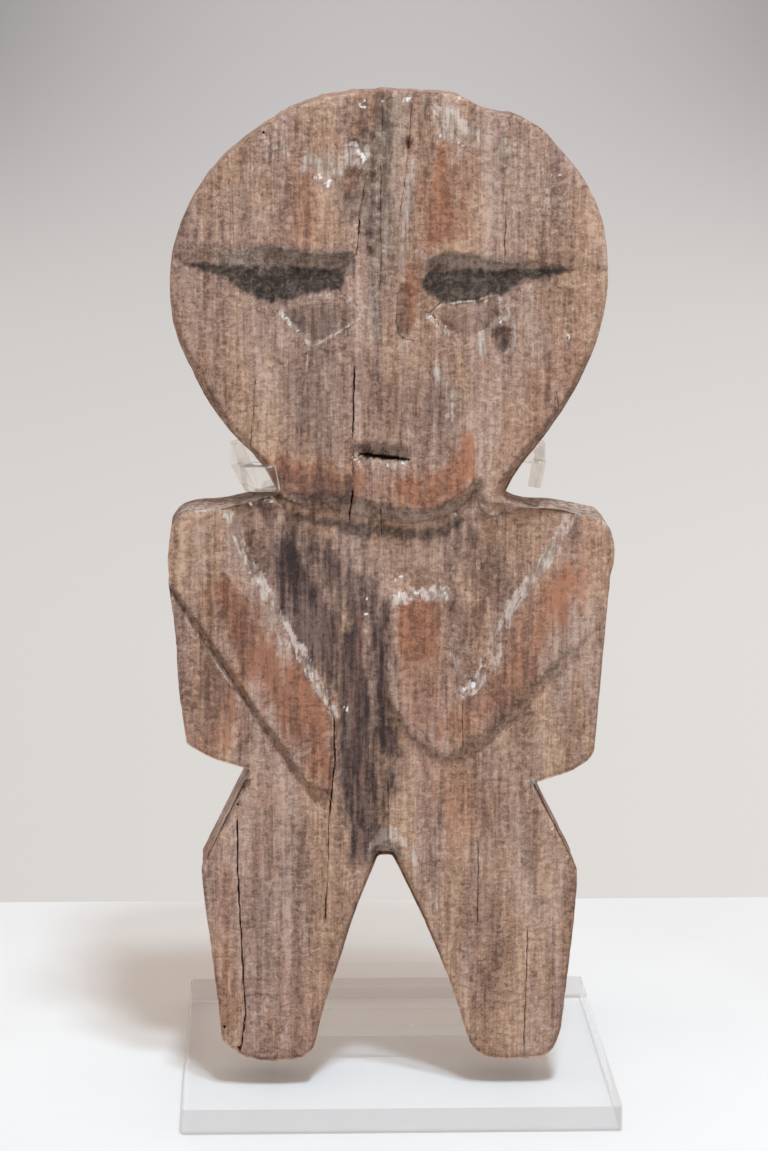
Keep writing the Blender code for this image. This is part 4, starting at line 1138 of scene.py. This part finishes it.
    def walls(self, ring: Array, front_y: Array, back_y: Array) -> Surface:
        """Carry the ring from the front to the back as a strip of quads, dressed with shallow knife facets.

        Args:
            ring: the outline.
            front_y: where each place of the ring meets the front.
            back_y: where it meets the back.

        Returns:
            The wall's inner stations. Its faces count the front ring, the stations and then the back ring.
        """
        t = (np.arange(1, self.wall_stations) / self.wall_stations)[:, None]
        y = front_y + (back_y - front_y) * t
        normal = self.outward(ring)
        along = np.arange(len(ring)) * self.ring_step + 0 * y
        deep = y + self.facet_shift
        facet = self.facet_deep * np.abs(grain(deep, along, 7.0, 9.0, 71))
        facet = facet + self.facet_fine * np.abs(grain(deep, along, 1.4, 5.0, 72))
        facet = facet * np.sin(math.pi * t) ** 0.5
        px = ring[:, 0] - normal[:, 0] * facet
        pz = ring[:, 1] - normal[:, 1] * facet
        points = np.stack([px, y, pz], 2).reshape(-1, 3)
        return Surface(points, belt(len(ring), self.wall_stations + 1), np.zeros(len(points)))

    def build(self, finish: "WeatheredWood") -> bpy.types.Object:
        """Join front, walls and back along the ring into one closed mesh and dress it.

        Args:
            finish: the wood's finish.

        Returns:
            The figure.
        """
        ring = self.outline()
        count = len(ring)
        front, back = self.front_surface(ring), self.back_surface(ring)
        walls = self.walls(ring, front.points[:count, 1], back.points[:count, 1])
        wall_start, back_start = len(front.points), len(front.points) + len(walls.points)
        points = np.vstack([front.points, walls.points, back.points])
        inner = np.arange(len(walls.points)) + wall_start
        names = np.concatenate([np.arange(count), inner, np.arange(count) + back_start])
        faces = list(front.faces)
        faces += [tuple(int(names[k]) for k in face) for face in walls.faces]
        faces += [tuple(k + back_start for k in face) for face in back.faces]
        figure = new_piece("carved_figure", points * MM, faces, [finish.material()])
        self.wear_out(figure, points, wall_start, front.dark)
        figure.data.set_sharp_from_angle(angle=math.radians(self.sharp_angle))
        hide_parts("figure")
        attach(figure, "root")
        return figure

    def wear_out(self, figure: bpy.types.Object, points: Array, wall_start: int, dark: Array) -> None:
        """Write the wear of every place to the mesh.

        The front takes the patina. Walls and back take plain wear: dusty tops and shoulders with painted
        highlight, dusty hips, and painted shade on faces that look down.

        Args:
            figure: the figure.
            points: all places in millimetres.
            wall_start: number of the first place of the walls.
            dark: darkness of the cracks in front.
        """
        facing = np.empty(len(points) * 3)
        figure.data.vertex_normals.foreach_get("vector", facing)
        facing = facing.reshape(-1, 3)
        x, y, z = points.T
        tilt = np.hypot(facing[:, 0], facing[:, 2])
        up = facing[:, 2] / np.maximum(tilt, self.least_tilt)
        part = slice(0, wall_start)
        front = self.patina.lay(x[part], z[part], tilt[part], up[part])
        strengthen(front, Wear.CRACK_AND_SHADE, dark)
        rest = self.plain_wear(x + self.wear_slant * y, z)
        # Faces that look up, most on the shoulders, turn pale: dusty wear with painted highlight
        worn = eased(facing[:, 2], *self.level_faces) * (self.shoulder_dust_and_highlight + layered(x, y, SHOULDER_DUST_AND_HIGHLIGHT))
        worn = worn * (self.edge_dust_and_highlight + (1.0 - self.edge_dust_and_highlight) * held(z, SHOULDERS))
        hips = held(z, HIPS) * eased(np.abs(x), *self.hip_sides) * eased(tilt, *self.side_faces)
        rest[Wear.DUST_AND_HIGHLIGHT] = np.maximum(worn, hips * (self.hip_dust + layered(y, z, HIP_DUST)))
        # Painted shade on wall and back faces that look down
        rest[Wear.SHADE] = self.patina.under_shade * eased(-facing[:, 2], *self.level_faces)
        for kind in Wear:
            values = rest[kind]
            values[part] = front[kind]
            layer = figure.data.attributes.new(kind.value, "FLOAT", "POINT")
            layer.data.foreach_set("value", np.clip(values, 0.0, self.most_wear).astype(np.float32))


def new_piece(name: str, points: Array, faces: Faces,
              materials: list[bpy.types.Material]) -> bpy.types.Object:
    """Put points in metres and faces into the scene as a smooth mesh at the origin.

    Args:
        name: the piece's name.
        points: rows of x, y, z.
        faces: corner numbers of each face, counter-clockwise from outside.
        materials: the slots.

    Returns:
        The new object.
    """
    mesh = bpy.data.meshes.new(name)
    mesh.from_pydata(np.asarray(points, float).tolist(), [], faces)
    mesh.update()
    mesh.shade_smooth()
    for material in materials:
        mesh.materials.append(material)
    piece = bpy.data.objects.new(name, mesh)
    bpy.context.scene.collection.objects.link(piece)
    return piece


class NodeSheet:
    """The nodes of one material or surround, with short ways to add the ones that the finishes use."""

    def __init__(self, owner: bpy.types.Material | bpy.types.World) -> None:
        """Start with the nodes that a new material or surround holds."""
        owner.use_nodes = True
        self.tree = owner.node_tree

    def add(self, kind: str, **inputs: object) -> bpy.types.Node:
        """Add a node and fill its inputs by name: a socket is linked, and a plain value is set.

        Args:
            kind: the node's type name.
            inputs: input names, with _ for a space.

        Returns:
            The node.
        """
        node = self.tree.nodes.new(kind)
        self.fill(node, **inputs)
        return node

    def fill(self, node: bpy.types.Node, **inputs: object) -> None:
        """Fill a node's inputs by name, with _ for a space."""
        for name, value in inputs.items():
            self.feed(node.inputs[name.replace("_", " ")], value)

    def feed(self, target: bpy.types.NodeSocket, value: object) -> None:
        """Link a socket to the target, or set the target to a plain value."""
        if isinstance(value, bpy.types.NodeSocket):
            self.tree.links.new(value, target)
        else:
            target.default_value = value

    def place(self, scale: tuple[float, float, float]) -> bpy.types.NodeSocket:
        """Object coordinates stretched by a scale for each axis, in cycles a metre."""
        coordinates = self.add("ShaderNodeTexCoord")
        mapping = self.add("ShaderNodeMapping", Vector=coordinates.outputs["Object"], Scale=scale)
        return mapping.outputs["Vector"]

    def noise(self, across: float, up: float, detail: float = 3.0, roughness: float = 0.55,
              distortion: float = 0.0) -> bpy.types.NodeSocket:
        """Noise around 0.5 over object coordinates, with its cycles a metre across and up the grain."""
        node = self.add("ShaderNodeTexNoise", Vector=self.place((across, across * 0.8, up)), Scale=1.0,
                        Detail=detail, Roughness=roughness, Distortion=distortion)
        return node.outputs["Fac"]

    def value(self, kind: Wear) -> bpy.types.NodeSocket:
        """The mesh's own wear of one kind."""
        node = self.add("ShaderNodeAttribute")
        node.attribute_name = kind.value
        return node.outputs["Fac"]

    def math(self, operation: str, first: object, second: object = 0.5) -> bpy.types.NodeSocket:
        """One sum of two numbers or sockets."""
        node = self.tree.nodes.new("ShaderNodeMath")
        node.operation = operation
        self.feed(node.inputs[0], first)
        self.feed(node.inputs[1], second)
        return node.outputs["Value"]

    def mixed(self, parts: list[tuple[object, float]]) -> bpy.types.NodeSocket:
        """The sum of sockets, each times its weight."""
        total = self.math("MULTIPLY", *parts[0])
        for socket, weight in parts[1:]:
            total = self.math("ADD", total, self.math("MULTIPLY", socket, weight))
        return total

    def between(self, value: object, low: float, high: float, start: float = 0.0,
                end: float = 1.0, smooth: bool = True) -> bpy.types.NodeSocket:
        """Map low..high to start..end, smoothly or straight."""
        node = self.add("ShaderNodeMapRange", Value=value, From_Min=low, From_Max=high, To_Min=start,
                        To_Max=end)
        node.interpolation_type = "SMOOTHSTEP" if smooth else "LINEAR"
        return node.outputs["Result"]

    def blend(self, share: object, first: object, second: object, mode: str = "MIX") -> bpy.types.NodeSocket:
        """Mix two colours by a share, or multiply them in the mode MULTIPLY."""
        node = self.tree.nodes.new("ShaderNodeMix")
        node.data_type = "RGBA"
        node.blend_type = mode
        self.feed(node.inputs["Factor"], share)
        self.feed(node.inputs[6], first)
        self.feed(node.inputs[7], second)
        return node.outputs[2]

    def bump(self, height: bpy.types.NodeSocket, strength: float, distance: float) -> bpy.types.NodeSocket:
        """A normal that follows a height."""
        node = self.add("ShaderNodeBump", Height=height, Strength=strength, Distance=distance)
        return node.outputs["Normal"]


@dataclass(frozen=True)
class WeatheredWood:
    """Old bare hardwood: soft bands and fibres up the grain, with wear, painted shade and painted highlight
    laid over them.
    """

    light: Colour = (0.52, 0.375, 0.30, 1.0)
    middle: Colour = (0.335, 0.215, 0.165, 1.0)
    dark: Colour = (0.15, 0.088, 0.068, 1.0)
    tan: Colour = (1.06, 0.99, 0.88, 1.0)
    pink: Colour = (0.99, 0.99, 1.01, 1.0)
    red_light: Colour = (0.405, 0.183, 0.106, 1.0)
    red_dark: Colour = (0.15, 0.064, 0.04, 1.0)
    grey_light: Colour = (0.40, 0.31, 0.255, 1.0)
    grey_dark: Colour = (0.13, 0.094, 0.076, 1.0)
    stain: Colour = (0.11, 0.066, 0.058, 1.0)
    stain_dark: Colour = (0.036, 0.022, 0.021, 1.0)
    # Pale, dusty wear that also paints highlight on lit ledges and tops
    dust_and_highlight: Colour = (0.58, 0.48, 0.42, 1.0)
    dust_and_highlight_dark: Colour = (0.27, 0.205, 0.17, 1.0)
    chip: Colour = (0.80, 0.77, 0.76, 1.0)
    # Painted shade
    shade: Colour = (0.062, 0.045, 0.037, 1.0)
    shade_dark: Colour = (0.024, 0.017, 0.014, 1.0)
    # Cracks, and painted shade in the mouth's slit and along dark edges
    crack: Colour = (0.012, 0.009, 0.008, 1.0)
    low_tones: Span = (0.42, 0.505)
    high_tones: Span = (0.49, 0.575)
    bright_tones: Span = (0.43, 0.57)
    warm_tones: Span = (0.38, 0.62)
    roughness: Span = (0.86, 0.62)
    shine: float = 0.28
    bump_strength: float = 0.6
    bump_height: float = 0.0012

    def material(self) -> bpy.types.Material:
        """Build the nodes.

        Tone = weighted sum of noises. Colour = dark to light by tone, warmed or cooled by a slow noise, then
        polish, weather, stain and painted shade, each by its attribute times a noise, then seams, dusty wear
        with painted highlight, chips, and cracks with painted shade.
        Height = weighted sum of the finer noises.
        """
        material = bpy.data.materials.new("weathered_wood")
        sheet = NodeSheet(material)
        shader = sheet.tree.nodes["Principled BSDF"]
        bands = sheet.noise(110.0, 9.0, 3.0, 0.5, 0.3)
        streaks = sheet.noise(450.0, 33.0, 4.0, 0.6, 0.2)
        fibres = sheet.noise(1300.0, 150.0, 3.0, 0.6)
        mottle = sheet.noise(420.0, 560.0, 5.0, 0.65, 0.6)
        speckle = sheet.noise(1500.0, 1500.0, 2.0, 0.6)
        clouds = sheet.noise(36.0, 25.0, 3.0, 0.55, 0.5)
        hatch = sheet.noise(200.0, 1100.0, 2.0, 0.5)
        warmth = sheet.noise(70.0, 17.0, 3.0, 0.55, 0.4)
        lines = sheet.noise(700.0, 17.0, 2.0, 0.5)
        tone = sheet.mixed([(bands, 0.14), (streaks, 0.19), (mottle, 0.27), (speckle, 0.12), (clouds, 0.12),
                            (hatch, 0.05), (fibres, 0.11)])
        low = sheet.between(tone, *self.low_tones)
        high = sheet.between(tone, *self.high_tones)
        bright = sheet.between(tone, *self.bright_tones)
        colour = sheet.blend(low, self.dark, self.middle)
        colour = sheet.blend(high, colour, self.light)
        tint = sheet.blend(sheet.between(warmth, *self.warm_tones), self.pink, self.tan)
        colour = sheet.blend(1.0, colour, tint, "MULTIPLY")
        wear = {kind: sheet.value(kind) for kind in Wear}
        layers = [
            (Wear.POLISH, sheet.blend(bright, self.red_dark, self.red_light),
             sheet.between(bands, 0.3, 0.6, 0.6, 1.0)),
            (Wear.WEATHER, sheet.blend(bright, self.grey_dark, self.grey_light),
             sheet.between(mottle, 0.35, 0.6, 0.5, 1.0)),
            (Wear.STAIN, sheet.blend(bright, self.stain_dark, self.stain),
             sheet.between(streaks, 0.62, 0.38, 0.66, 0.97)),
            # Painted shade in the hollows, under the chin and on faces that look down
            (Wear.SHADE, sheet.blend(bright, self.shade_dark, self.shade),
             sheet.between(mottle, 0.68, 0.32, 0.76, 0.96)),
        ]
        for kind, paint, share in layers:
            colour = sheet.blend(sheet.math("MULTIPLY", wear[kind], share), colour, paint)
        seams = sheet.between(lines, 0.335, 0.27, 0.0, 0.36)
        colour = sheet.blend(seams, colour, self.stain_dark)
        # Pale, dusty wear with painted highlight, ragged by noise
        ragged = sheet.mixed([(wear[Wear.DUST_AND_HIGHLIGHT], 1.0), (mottle, 1.3), (fibres, 0.9)])
        dust_and_highlight = sheet.blend(sheet.between(streaks, 0.42, 0.58), self.dust_and_highlight_dark, self.dust_and_highlight)
        colour = sheet.blend(sheet.between(ragged, 1.3, 1.95, 0.0, 0.85), colour, dust_and_highlight)
        ragged = sheet.mixed([(wear[Wear.CHIP], 1.0), (mottle, 0.7), (speckle, 0.5)])
        colour = sheet.blend(sheet.between(ragged, 0.95, 1.45, 0.0, 0.92), colour, self.chip)
        # Cracks, and painted shade in the mouth's slit, beside the nose and under the right arm
        crack = sheet.between(wear[Wear.CRACK_AND_SHADE], 0.3, 0.75)
        colour = sheet.blend(crack, colour, self.crack)
        height = sheet.mixed([(streaks, 0.45), (fibres, 0.3), (mottle, 0.5), (speckle, 0.2)])
        roughness = sheet.between(wear[Wear.POLISH], 0.0, 1.0, *self.roughness)
        sheet.fill(shader, Base_Color=colour, Roughness=roughness, Specular_IOR_Level=self.shine,
                   Normal=sheet.bump(height, self.bump_strength, self.bump_height))
        return material


@dataclass(frozen=True)
class ClearAcrylic:
    """Polished clear acrylic. Its cut edges get their own colour and more body, a painted reflection, as they
    gather light.
    """

    colour: Colour = (0.98, 0.985, 0.985, 1.0)
    # Colour and body of the cut edges: a painted reflection
    edge_colour: Colour = (0.50, 0.475, 0.465, 1.0)
    see_through: float = 0.035
    edge_see_through: float = 0.62
    refraction: float = 1.49
    roughness: Span = (0.02, 0.07)

    def material(self, name: str, colour: Colour, alpha: float) -> bpy.types.Material:
        """A see-through finish whose roughness carries fine handling marks."""
        material = bpy.data.materials.new(name)
        sheet = NodeSheet(material)
        marks = sheet.noise(140.0, 140.0, 4.0, 0.6)
        roughness = sheet.between(marks, 0.35, 0.7, *self.roughness)
        sheet.fill(sheet.tree.nodes["Principled BSDF"], Base_Color=colour, Transmission_Weight=1.0,
                   IOR=self.refraction, Alpha=alpha, Roughness=roughness)
        return material

    def materials(self) -> list[bpy.types.Material]:
        """The finish of the broad faces and that of the edges."""
        return [self.material("clear_acrylic", self.colour, self.see_through),
                self.material("acrylic_edge", self.edge_colour, self.edge_see_through)]


@dataclass
class ClearPlate:
    """The square plate that the figure stands on."""

    side: float = 152.4
    thick: float = 9.5
    middle_x: float = 2.4
    easing: float = 0.7
    corner: float = 1.0
    corner_steps: int = 6
    easing_steps: int = 4
    sharp_angle: float = 30.0

    def build(self, finish: ClearAcrylic) -> bpy.types.Object:
        """Stack rounded squares: a quarter circle eases the foot, the sides rise, and another eases the top.

        Args:
            finish: the acrylic.

        Returns:
            The plate.
        """
        turn = np.linspace(0.0, math.pi / 2, self.easing_steps + 1)
        short_sine, short_cosine = self.easing * (1 - np.sin(turn)), self.easing * (1 - np.cos(turn))
        inset = np.concatenate([short_sine, short_cosine])
        height = np.concatenate([short_cosine, self.thick - short_sine])
        angle = np.linspace(0.0, math.pi / 2, self.corner_steps + 1)
        half = self.side / 2
        rings = []
        for inward, z in zip(inset, height):
            reach = half - inward - self.corner
            parts = []
            for quarter, (sx, sy) in enumerate(((1, 1), (-1, 1), (-1, -1), (1, -1))):
                a = angle + quarter * math.pi / 2
                parts.append(np.stack([sx * reach + self.corner * np.cos(a) + self.middle_x,
                                       sy * reach + self.corner * np.sin(a), np.full(a.shape, z)], 1))
            rings.append(np.vstack(parts))
        count = len(rings[0])
        points = np.vstack(rings)
        faces = belt(count, len(rings))
        faces.append(tuple(range(count))[::-1])
        faces.append(tuple(range(len(points) - count, len(points))))
        plate = new_piece("clear_plate", points * MM, faces, finish.materials())
        edge = [0 if abs(polygon.normal.z) > 0.5 else 1 for polygon in plate.data.polygons]
        plate.data.polygons.foreach_set("material_index", edge)
        plate.data.set_sharp_from_angle(angle=math.radians(self.sharp_angle))
        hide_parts("stand_base")
        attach(plate, "root")
        return plate


@dataclass
class NeckCradle:
    """The bent sheet behind the figure, with the bar whose two arms come forward beside the neck."""

    thick: float = 4.7
    sheet_y: float = 33.35
    flange_tip: float = 1.2
    flange_z: float = 12.15
    bend: float = 6.35
    foot_half: float = 50.0
    top_half: float = 36.2
    taper_start: float = 20.0
    bar_low: float = 218.3
    bar_high: float = 227.3
    lean: float = 1.8
    hook_y: float = -34.05
    hook_tip_x: float = -39.0
    left_arm_x: float = -49.2
    left_middle_x: float = -52.2
    left_root_x: float = -55.3
    right_root_x: float = 56.0
    right_arm_x: float = 49.4
    right_arm_y: float = -27.5
    hook_bend: float = 4.0
    arm_bend: float = 7.0
    columns: int = 18
    bend_rows: int = 9
    flange_rows: int = 5
    upright_rows: int = 6
    bar_rows: int = 4
    easing: float = 0.8
    easing_steps: int = 3
    easing_angle: float = 50.0
    weld: float = 0.01

    def filleted(self, corners: Places, radius: float) -> Array:
        """Follow a plan path and round each inner corner by a quadratic curve between its tangents."""
        knots = np.array(corners, float)
        t = np.linspace(0.0, 1.0, self.bend_rows)[:, None]
        parts = [knots[:1]]
        for before, corner, after in zip(knots, knots[1:], knots[2:]):
            back, on = before - corner, after - corner
            back, on = back / np.hypot(*back), on / np.hypot(*on)
            reach = radius / math.tan(math.acos(float(back @ on)) / 2)
            start, end = corner + back * reach, corner + on * reach
            parts.append((1 - t) ** 2 * start + 2 * t * (1 - t) * corner + t * t * end)
        parts.append(knots[-1:])
        return np.vstack(parts)

    def bar_path(self, lean: float) -> Array:
        """Plan path of the bar: hooked left arm, the stretch behind the neck, and the right arm."""
        middle_left = (self.left_middle_x, 0.0)
        left = self.filleted([(self.hook_tip_x - lean, self.hook_y), (self.left_arm_x - lean, self.hook_y),
                              middle_left], self.hook_bend)
        back_left = self.filleted([middle_left, (self.left_root_x, self.sheet_y),
                                   (-self.top_half, self.sheet_y)], self.arm_bend)
        across = np.linspace(-self.top_half, self.top_half, self.columns + 1)
        middle = np.stack([across, np.full(across.shape, self.sheet_y)], 1)
        right = self.filleted([(self.top_half, self.sheet_y), (self.right_root_x, self.sheet_y),
                               (self.right_arm_x + lean, self.right_arm_y)], self.arm_bend)
        return np.vstack([left[:-1], back_left[1:-1], middle, right[1:]])

    def sheet_grid(self) -> Array:
        """Middle surface of the sheet, from its flange over the bend to the bar: x = half width * u.

        Returns:
            Rows of places, as an array of rows, columns and x, y, z.
        """
        turn = np.linspace(-math.pi / 2, 0.0, self.bend_rows)
        bend_y = self.sheet_y - self.bend
        bend_z = self.flange_z + self.bend
        y = np.concatenate([np.linspace(self.flange_tip, bend_y, self.flange_rows, endpoint=False),
                            bend_y + self.bend * np.cos(turn), np.full(self.upright_rows, self.sheet_y)])
        z = np.concatenate([np.full(self.flange_rows, self.flange_z), bend_z + self.bend * np.sin(turn),
                            np.linspace(bend_z, self.bar_low, self.upright_rows + 1)[1:]])
        share = np.clip((z - self.taper_start) / (self.bar_low - self.taper_start), 0.0, 1.0)
        half = self.foot_half + (self.top_half - self.foot_half) * share
        u = np.linspace(-1.0, 1.0, self.columns + 1)
        return np.stack([half[:, None] * u, y[:, None] + 0 * u, z[:, None] + 0 * u], 2)

    def bar_grid(self) -> Array:
        """Middle surface of the bar: its plan path at rising heights, with arms that lean out upwards.

        Returns:
            Rows of places, as an array of rows, columns and x, y, z.
        """
        low, high = self.bar_path(0.0), self.bar_path(self.lean)
        rows = []
        for t in np.linspace(0.0, 1.0, self.bar_rows):
            level = np.full(len(low), self.bar_low + (self.bar_high - self.bar_low) * t)
            rows.append(np.column_stack([low + (high - low) * t, level]))
        return np.stack(rows)

    def build(self, finish: ClearAcrylic, clip: ClearAcrylic) -> bpy.types.Object:
        """Join the middle surfaces of sheet and bar, and give them their thickness and eased edges.

        Args:
            finish: the acrylic of the sheet.
            clip: the acrylic of the bar, which shows more body as its bends gather light, a painted
                highlight.

        Returns:
            The sheet with its bar.
        """
        points, faces = [], []
        clip_start = 0
        for grid in (self.sheet_grid(), self.bar_grid()):
            rows, cols = grid.shape[:2]
            start = sum(len(part) for part in points)
            index = (np.arange(rows - 1)[:, None] * cols + np.arange(cols - 1)).ravel() + start
            points.append(grid.reshape(-1, 3))
            clip_start = len(faces)
            faces += np.stack([index, index + 1, index + cols + 1, index + cols], 1).tolist()
        slots = [*finish.materials(), *clip.materials()]
        cradle = new_piece("neck_cradle", np.vstack(points) * MM, [tuple(f) for f in faces], slots)
        bar_slot = np.where(np.arange(len(faces)) < clip_start, 0, 2)
        cradle.data.polygons.foreach_set("material_index", bar_slot)
        self.weld_grids(cradle)
        self.add_thickness(cradle)
        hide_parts("stand_upright")
        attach(cradle, "root")
        return cradle

    def weld_grids(self, cradle: bpy.types.Object) -> None:
        """Join the two grids where they meet, and turn all faces the same way."""
        work = bmesh.new()
        work.from_mesh(cradle.data)
        bmesh.ops.remove_doubles(work, verts=work.verts, dist=self.weld * MM)
        bmesh.ops.recalc_face_normals(work, faces=work.faces)
        work.to_mesh(cradle.data)
        work.free()

    def add_thickness(self, cradle: bpy.types.Object) -> None:
        """Thicken the middle surface to both sides, give its rims the edge finish, and ease its edges."""
        wall = cradle.modifiers.new("thickness", "SOLIDIFY")
        wall.thickness = self.thick * MM
        wall.offset = 0.0
        wall.use_even_offset = True
        wall.material_offset_rim = 1
        edge = cradle.modifiers.new("easing", "BEVEL")
        edge.width = self.easing * MM
        edge.segments = self.easing_steps
        edge.limit_method = "ANGLE"
        edge.angle_limit = math.radians(self.easing_angle)


@dataclass
class Studio:
    """The pale shelf, the light and the camera."""

    shelf_back: float = 225.0
    shelf_front: float = -1500.0
    shelf_half: float = 900.0
    shelf_thick: float = 40.0
    shelf_round: float = 6.0
    shelf_round_steps: int = 9
    shelf_dull: Colour = (0.83, 0.825, 0.82, 1.0)
    shelf_pale: Colour = (0.86, 0.857, 0.853, 1.0)
    shelf_roughness: float = 0.6
    sharp_angle: float = 40.0
    camera_at: tuple[float, float, float] = (-45.65, -1183.2, 396.7)
    pitch: float = 10.263
    yaw: float = 2.118
    roll: float = 0.194
    lens: float = 105.0
    clip: Span = (0.05, 50.0)
    keys: Places = ((0.13, -0.38, 1.0, 14.0), (0.10, -0.58, 1.0, 15.5))
    key_aim: tuple[float, float, float] = (0.0, -15.0, 180.0)
    key_far: float = 1800.0
    key_size: float = 190.0
    key_colour: tuple[float, float, float] = (0.72, 0.88, 1.0)
    cast_colour: Colour = (1.0, 0.87, 0.78, 1.0)
    cast_strength: float = 0.66
    # Colours of the wall seen behind, with painted shade: darker upwards and in the top corners
    wall_low: Colour = (0.728, 0.697, 0.672, 1.0)
    wall_high: Colour = (0.52, 0.495, 0.497, 1.0)
    wall_fade: Span = (-0.20, 0.04)
    wall_sides: Span = (-0.09, 0.16)
    wall_top: Span = (-0.11, 0.0)
    wall_slant: float = 0.045
    corner_dark: float = -0.40

    def build_shelf(self) -> bpy.types.Object:
        """Sweep a side profile with a rounded back edge along X."""
        turn = np.linspace(0.0, math.pi / 2, self.shelf_round_steps)
        edge_y = self.shelf_back - self.shelf_round + self.shelf_round * np.sin(turn)
        edge_z = -self.shelf_round + self.shelf_round * np.cos(turn)
        y = np.concatenate([[self.shelf_front], edge_y, [self.shelf_back, self.shelf_front]])
        z = np.concatenate([[0.0], edge_z, [-self.shelf_thick, -self.shelf_thick]])
        count = len(y)
        right = np.stack([np.full(count, self.shelf_half), y, z], 1)
        left = right * (-1.0, 1.0, 1.0)
        faces = belt(count, 2)
        faces += [tuple(range(count))[::-1], tuple(range(count, 2 * count))]
        material = bpy.data.materials.new("pale_shelf")
        sheet = NodeSheet(material)
        tone = sheet.between(sheet.noise(9.0, 9.0), 0.3, 0.7)
        colour = sheet.blend(tone, self.shelf_dull, self.shelf_pale)
        sheet.fill(sheet.tree.nodes["Principled BSDF"], Base_Color=colour, Roughness=self.shelf_roughness)
        shelf = new_piece("pale_shelf", np.vstack([right, left]) * MM, faces, [material])
        shelf.data.set_sharp_from_angle(angle=math.radians(self.sharp_angle))
        return shelf

    def build_lamps(self) -> None:
        """Hang two small round lamps high in front, which face the middle of the figure."""
        centre = Vector(self.key_aim) * MM
        for number, (x, y, z, power) in enumerate(self.keys):
            data = bpy.data.lights.new(f"key_{number}", "AREA")
            data.shape = "DISK"
            data.size = self.key_size * MM
            data.energy = power
            data.color = self.key_colour
            lamp = bpy.data.objects.new(data.name, data)
            lamp.location = centre + Vector((x, y, z)).normalized() * self.key_far * MM
            lamp.rotation_euler = (centre - lamp.location).to_track_quat("-Z", "Y").to_euler()
            bpy.context.scene.collection.objects.link(lamp)

    def build_surround(self) -> None:
        """Light the scene evenly and warmly, and show a wall with painted shade: it darkens upwards and to
        its top corners.

        The wall goes by the direction (x, z) from the scene. Its strength is 1 + slant times side + corner
        dark times side squared times top. Side runs from -1 to 1 across the picture, and top from 0 to 1 up
        its upper third.
        """
        world = bpy.data.worlds.new("surround")
        sheet = NodeSheet(world)
        cast = sheet.tree.nodes["Background"]
        sheet.fill(cast, Color=self.cast_colour, Strength=self.cast_strength)
        place = sheet.add("ShaderNodeTexCoord").outputs["Generated"]
        parts = sheet.add("ShaderNodeSeparateXYZ", Vector=place)
        wall = sheet.blend(sheet.between(parts.outputs["Z"], *self.wall_fade), self.wall_low, self.wall_high)
        side = sheet.between(parts.outputs["X"], *self.wall_sides, -1.0, 1.0, smooth=False)
        top = sheet.between(parts.outputs["Z"], *self.wall_top)
        corner = sheet.math("MULTIPLY", sheet.math("MULTIPLY", side, side), top)
        strength = sheet.math("ADD", sheet.mixed([(side, self.wall_slant), (corner, self.corner_dark)]), 1.0)
        seen = sheet.add("ShaderNodeBackground", Color=wall, Strength=strength)
        camera_ray = sheet.add("ShaderNodeLightPath").outputs["Is Camera Ray"]
        choose = sheet.add("ShaderNodeMixShader", Fac=camera_ray)
        sheet.feed(choose.inputs[1], cast.outputs["Background"])
        sheet.feed(choose.inputs[2], seen.outputs["Background"])
        sheet.feed(sheet.tree.nodes["World Output"].inputs["Surface"], choose.outputs["Shader"])
        bpy.context.scene.world = world
        bpy.context.scene.view_settings.view_transform = "Standard"

    def build_camera(self) -> None:
        """Stand the camera where the photo was taken: turned by yaw, looking down by pitch, rolled a hair."""
        pitch, yaw, roll = (math.radians(angle) for angle in (self.pitch, self.yaw, self.roll))
        ahead = Vector((math.sin(yaw) * math.cos(pitch), math.cos(yaw) * math.cos(pitch), -math.sin(pitch)))
        right = Vector((math.cos(yaw), -math.sin(yaw), 0.0))
        above = right.cross(ahead)
        turned_right = right * math.cos(roll) + above * math.sin(roll)
        turned_above = above * math.cos(roll) - right * math.sin(roll)
        data = bpy.data.cameras.new("camera")
        data.lens = self.lens
        data.clip_start, data.clip_end = self.clip
        camera = bpy.data.objects.new("camera", data)
        axes = Matrix((turned_right, turned_above, -ahead)).transposed().to_4x4()
        camera.matrix_world = Matrix.Translation(Vector(self.camera_at) * MM) @ axes
        bpy.context.scene.collection.objects.link(camera)
        bpy.context.scene.camera = camera


def main() -> None:
    """Build the pieces in order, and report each."""
    logging.basicConfig(level=logging.INFO, format="%(name)s: %(message)s")
    studio = Studio()
    studio.build_camera()
    studio.build_shelf()
    studio.build_lamps()
    studio.build_surround()
    acrylic = ClearAcrylic()
    hazy = ClearAcrylic(edge_colour=(0.9, 0.9, 0.9, 1.0), see_through=0.16, edge_see_through=0.6)
    # The bar's whiter, more solid edges are a painted highlight
    clip = ClearAcrylic(edge_colour=(0.80, 0.79, 0.78, 1.0), see_through=0.34, edge_see_through=0.75)
    pieces = [ClearPlate().build(acrylic), NeckCradle().build(hazy, clip),
              CarvedBoard().build(WeatheredWood())]
    for piece in pieces:
        piece.data.calc_loop_triangles()
        LOG.info("%s has %d triangles", piece.name, len(piece.data.loop_triangles))


if __name__ == "__main__":
    main()
